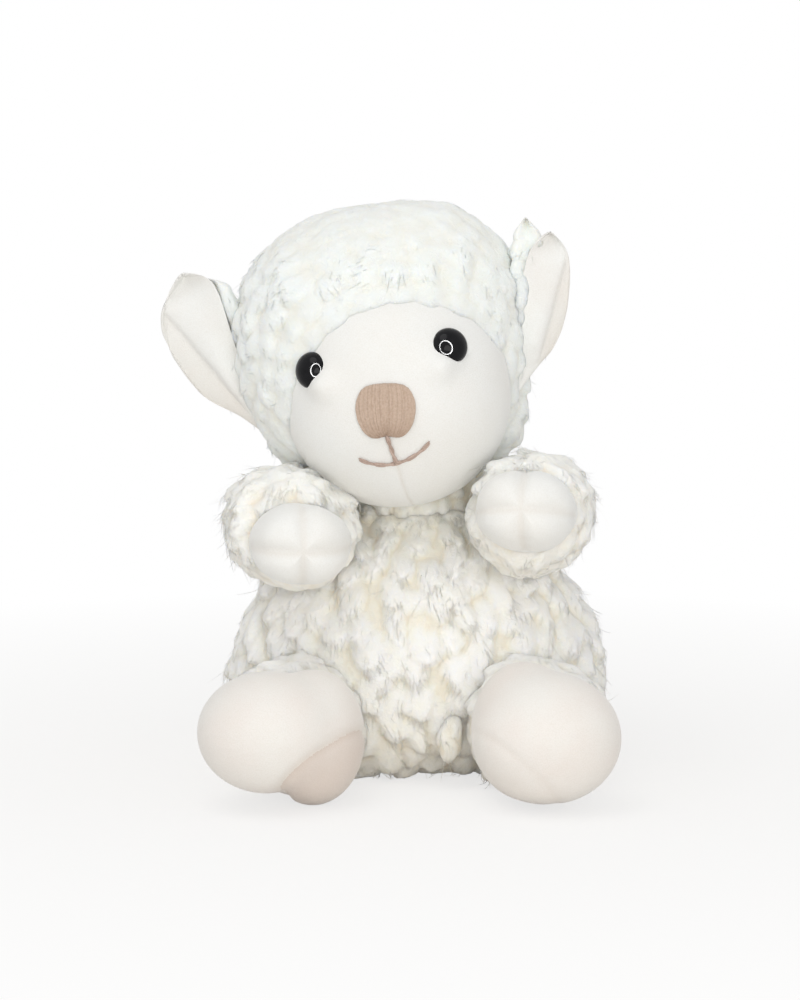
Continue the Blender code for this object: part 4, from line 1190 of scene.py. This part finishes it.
floor_mesh = bpy.data.meshes.new("studio_floor")
floor_mesh.from_pydata([(-3, -3, 0), (3, -3, 0), (3, 3, 0), (-3, 3, 0)], [], [(0, 1, 2, 3)])
floor = bpy.data.objects.new("studio_floor", floor_mesh)
bpy.context.scene.collection.objects.link(floor)
floor.location = (0, 0, -0.0001)
floor_material, tree, shader = new_material("pale_studio_floor")
set_inputs(tree, shader, {"Base Color": (0.88, 0.86, 0.83, 1), "Roughness": 0.9})
glow = add_node(tree, "Emission", "Emission", {})
away = add_node(tree, "VectorMath", "Value", {0: object_place(tree)}, operation="LENGTH")
limits = {"From Min": 0.10, "From Max": 0.40, "To Min": 0.70, "To Max": 1.0}
fade = add_node(tree, "MapRange", "Result", {"Value": away, **limits})
share = add_node(tree, "Math", "Value", {0: shown_rays(tree), 1: fade}, operation="MULTIPLY")
surface = add_node(tree, "MixShader", "Shader", {"Fac": share, 1: shader.outputs["BSDF"], 2: glow})
set_inputs(tree, tree.nodes["Material Output"], {"Surface": surface})
floor_mesh.materials.append(floor_material)

studio = bpy.data.worlds.new("studio_world")
bpy.context.scene.world = studio
studio.use_nodes = True
tree = studio.node_tree
light = tree.nodes["Background"]
set_inputs(tree, light, {"Color": (1, 1, 1, 1), "Strength": 0.60})
seen = add_node(tree, "Background", "Background", {"Color": (1, 1, 1, 1), "Strength": 1.0})
inputs = {"Fac": shown_rays(tree), 1: light.outputs["Background"], 2: seen}
surface = add_node(tree, "MixShader", "Shader", inputs)
set_inputs(tree, tree.nodes["World Output"], {"Surface": surface})


def area_lamp(name, place, target, size, watts, color=(1, 1, 1)):
    lamp = bpy.data.lights.new(name, "AREA")
    lamp.shape = "DISK"
    lamp.size = size
    lamp.energy = watts
    lamp.color = color
    obj = bpy.data.objects.new(name, lamp)
    bpy.context.scene.collection.objects.link(obj)
    obj.matrix_world = facing(place, Vector(place) - Vector(target), (0, 0.01, 1))
    obj.visible_camera = False
    return obj


area_lamp("key_lamp", (-0.30, -0.45, 1.15), (0, 0, 0.09), 0.8, 3.2, (1.0, 1.0, 0.99))
area_lamp("front_lamp", (0.12, -1.0, 0.14), (0, 0, 0.09), 0.7, 4.2, (1.0, 0.985, 0.965))


RING_INSIDE = 0.435


def ring_lamp(name, place, target, size, watts):
    """A round lamp that shines only near its rim, as a photographer's ring light does."""
    obj = area_lamp(name, place, target, size, watts)
    obj.data.use_nodes = True
    tree = obj.data.node_tree
    spot = add_node(tree, "NewGeometry", "Parametric", {})
    spot = add_node(tree, "VectorMath", "Vector", {0: spot, 1: (0.5, 0.5, 0)}, operation="SUBTRACT")
    away = add_node(tree, "VectorMath", "Value", {0: spot}, operation="LENGTH")
    rim = add_node(tree, "Math", "Value", {0: away, 1: RING_INSIDE}, operation="GREATER_THAN")
    set_inputs(tree, tree.nodes["Emission"], {"Strength": rim})
    return obj


ring = ring_lamp("ring_lamp", (-0.016, -0.225, 0.165), (-0.016, 0, 0.145), 0.29, 34.0)
ring.light_linking.receiver_collection = eyes
ring.visible_diffuse = False

# The camera: the photograph's width, focal length and shift in pixels, and a film width in mm

PHOTO_WIDTH = 800
FOCAL_PIXELS = 2647
SHIFT_PIXELS = (-15, -17)
SENSOR = 36
CAMERA_AWAY = 0.9
CAMERA_RISE = math.radians(6.0)

camera_data = bpy.data.cameras.new("photo_camera")
camera = bpy.data.objects.new("photo_camera", camera_data)
bpy.context.scene.collection.objects.link(camera)
target = Vector((0, 0, 0.095))
place = target + CAMERA_AWAY * Vector((0, -math.cos(CAMERA_RISE), math.sin(CAMERA_RISE)))
camera.matrix_world = facing(place, place - target)
camera_data.sensor_fit = "HORIZONTAL"
camera_data.sensor_width = SENSOR
camera_data.lens = FOCAL_PIXELS * SENSOR / PHOTO_WIDTH
camera_data.shift_x, camera_data.shift_y = (pixels / PHOTO_WIDTH for pixels in SHIFT_PIXELS)
bpy.context.scene.camera = camera
bpy.context.scene.view_settings.view_transform = "Standard"
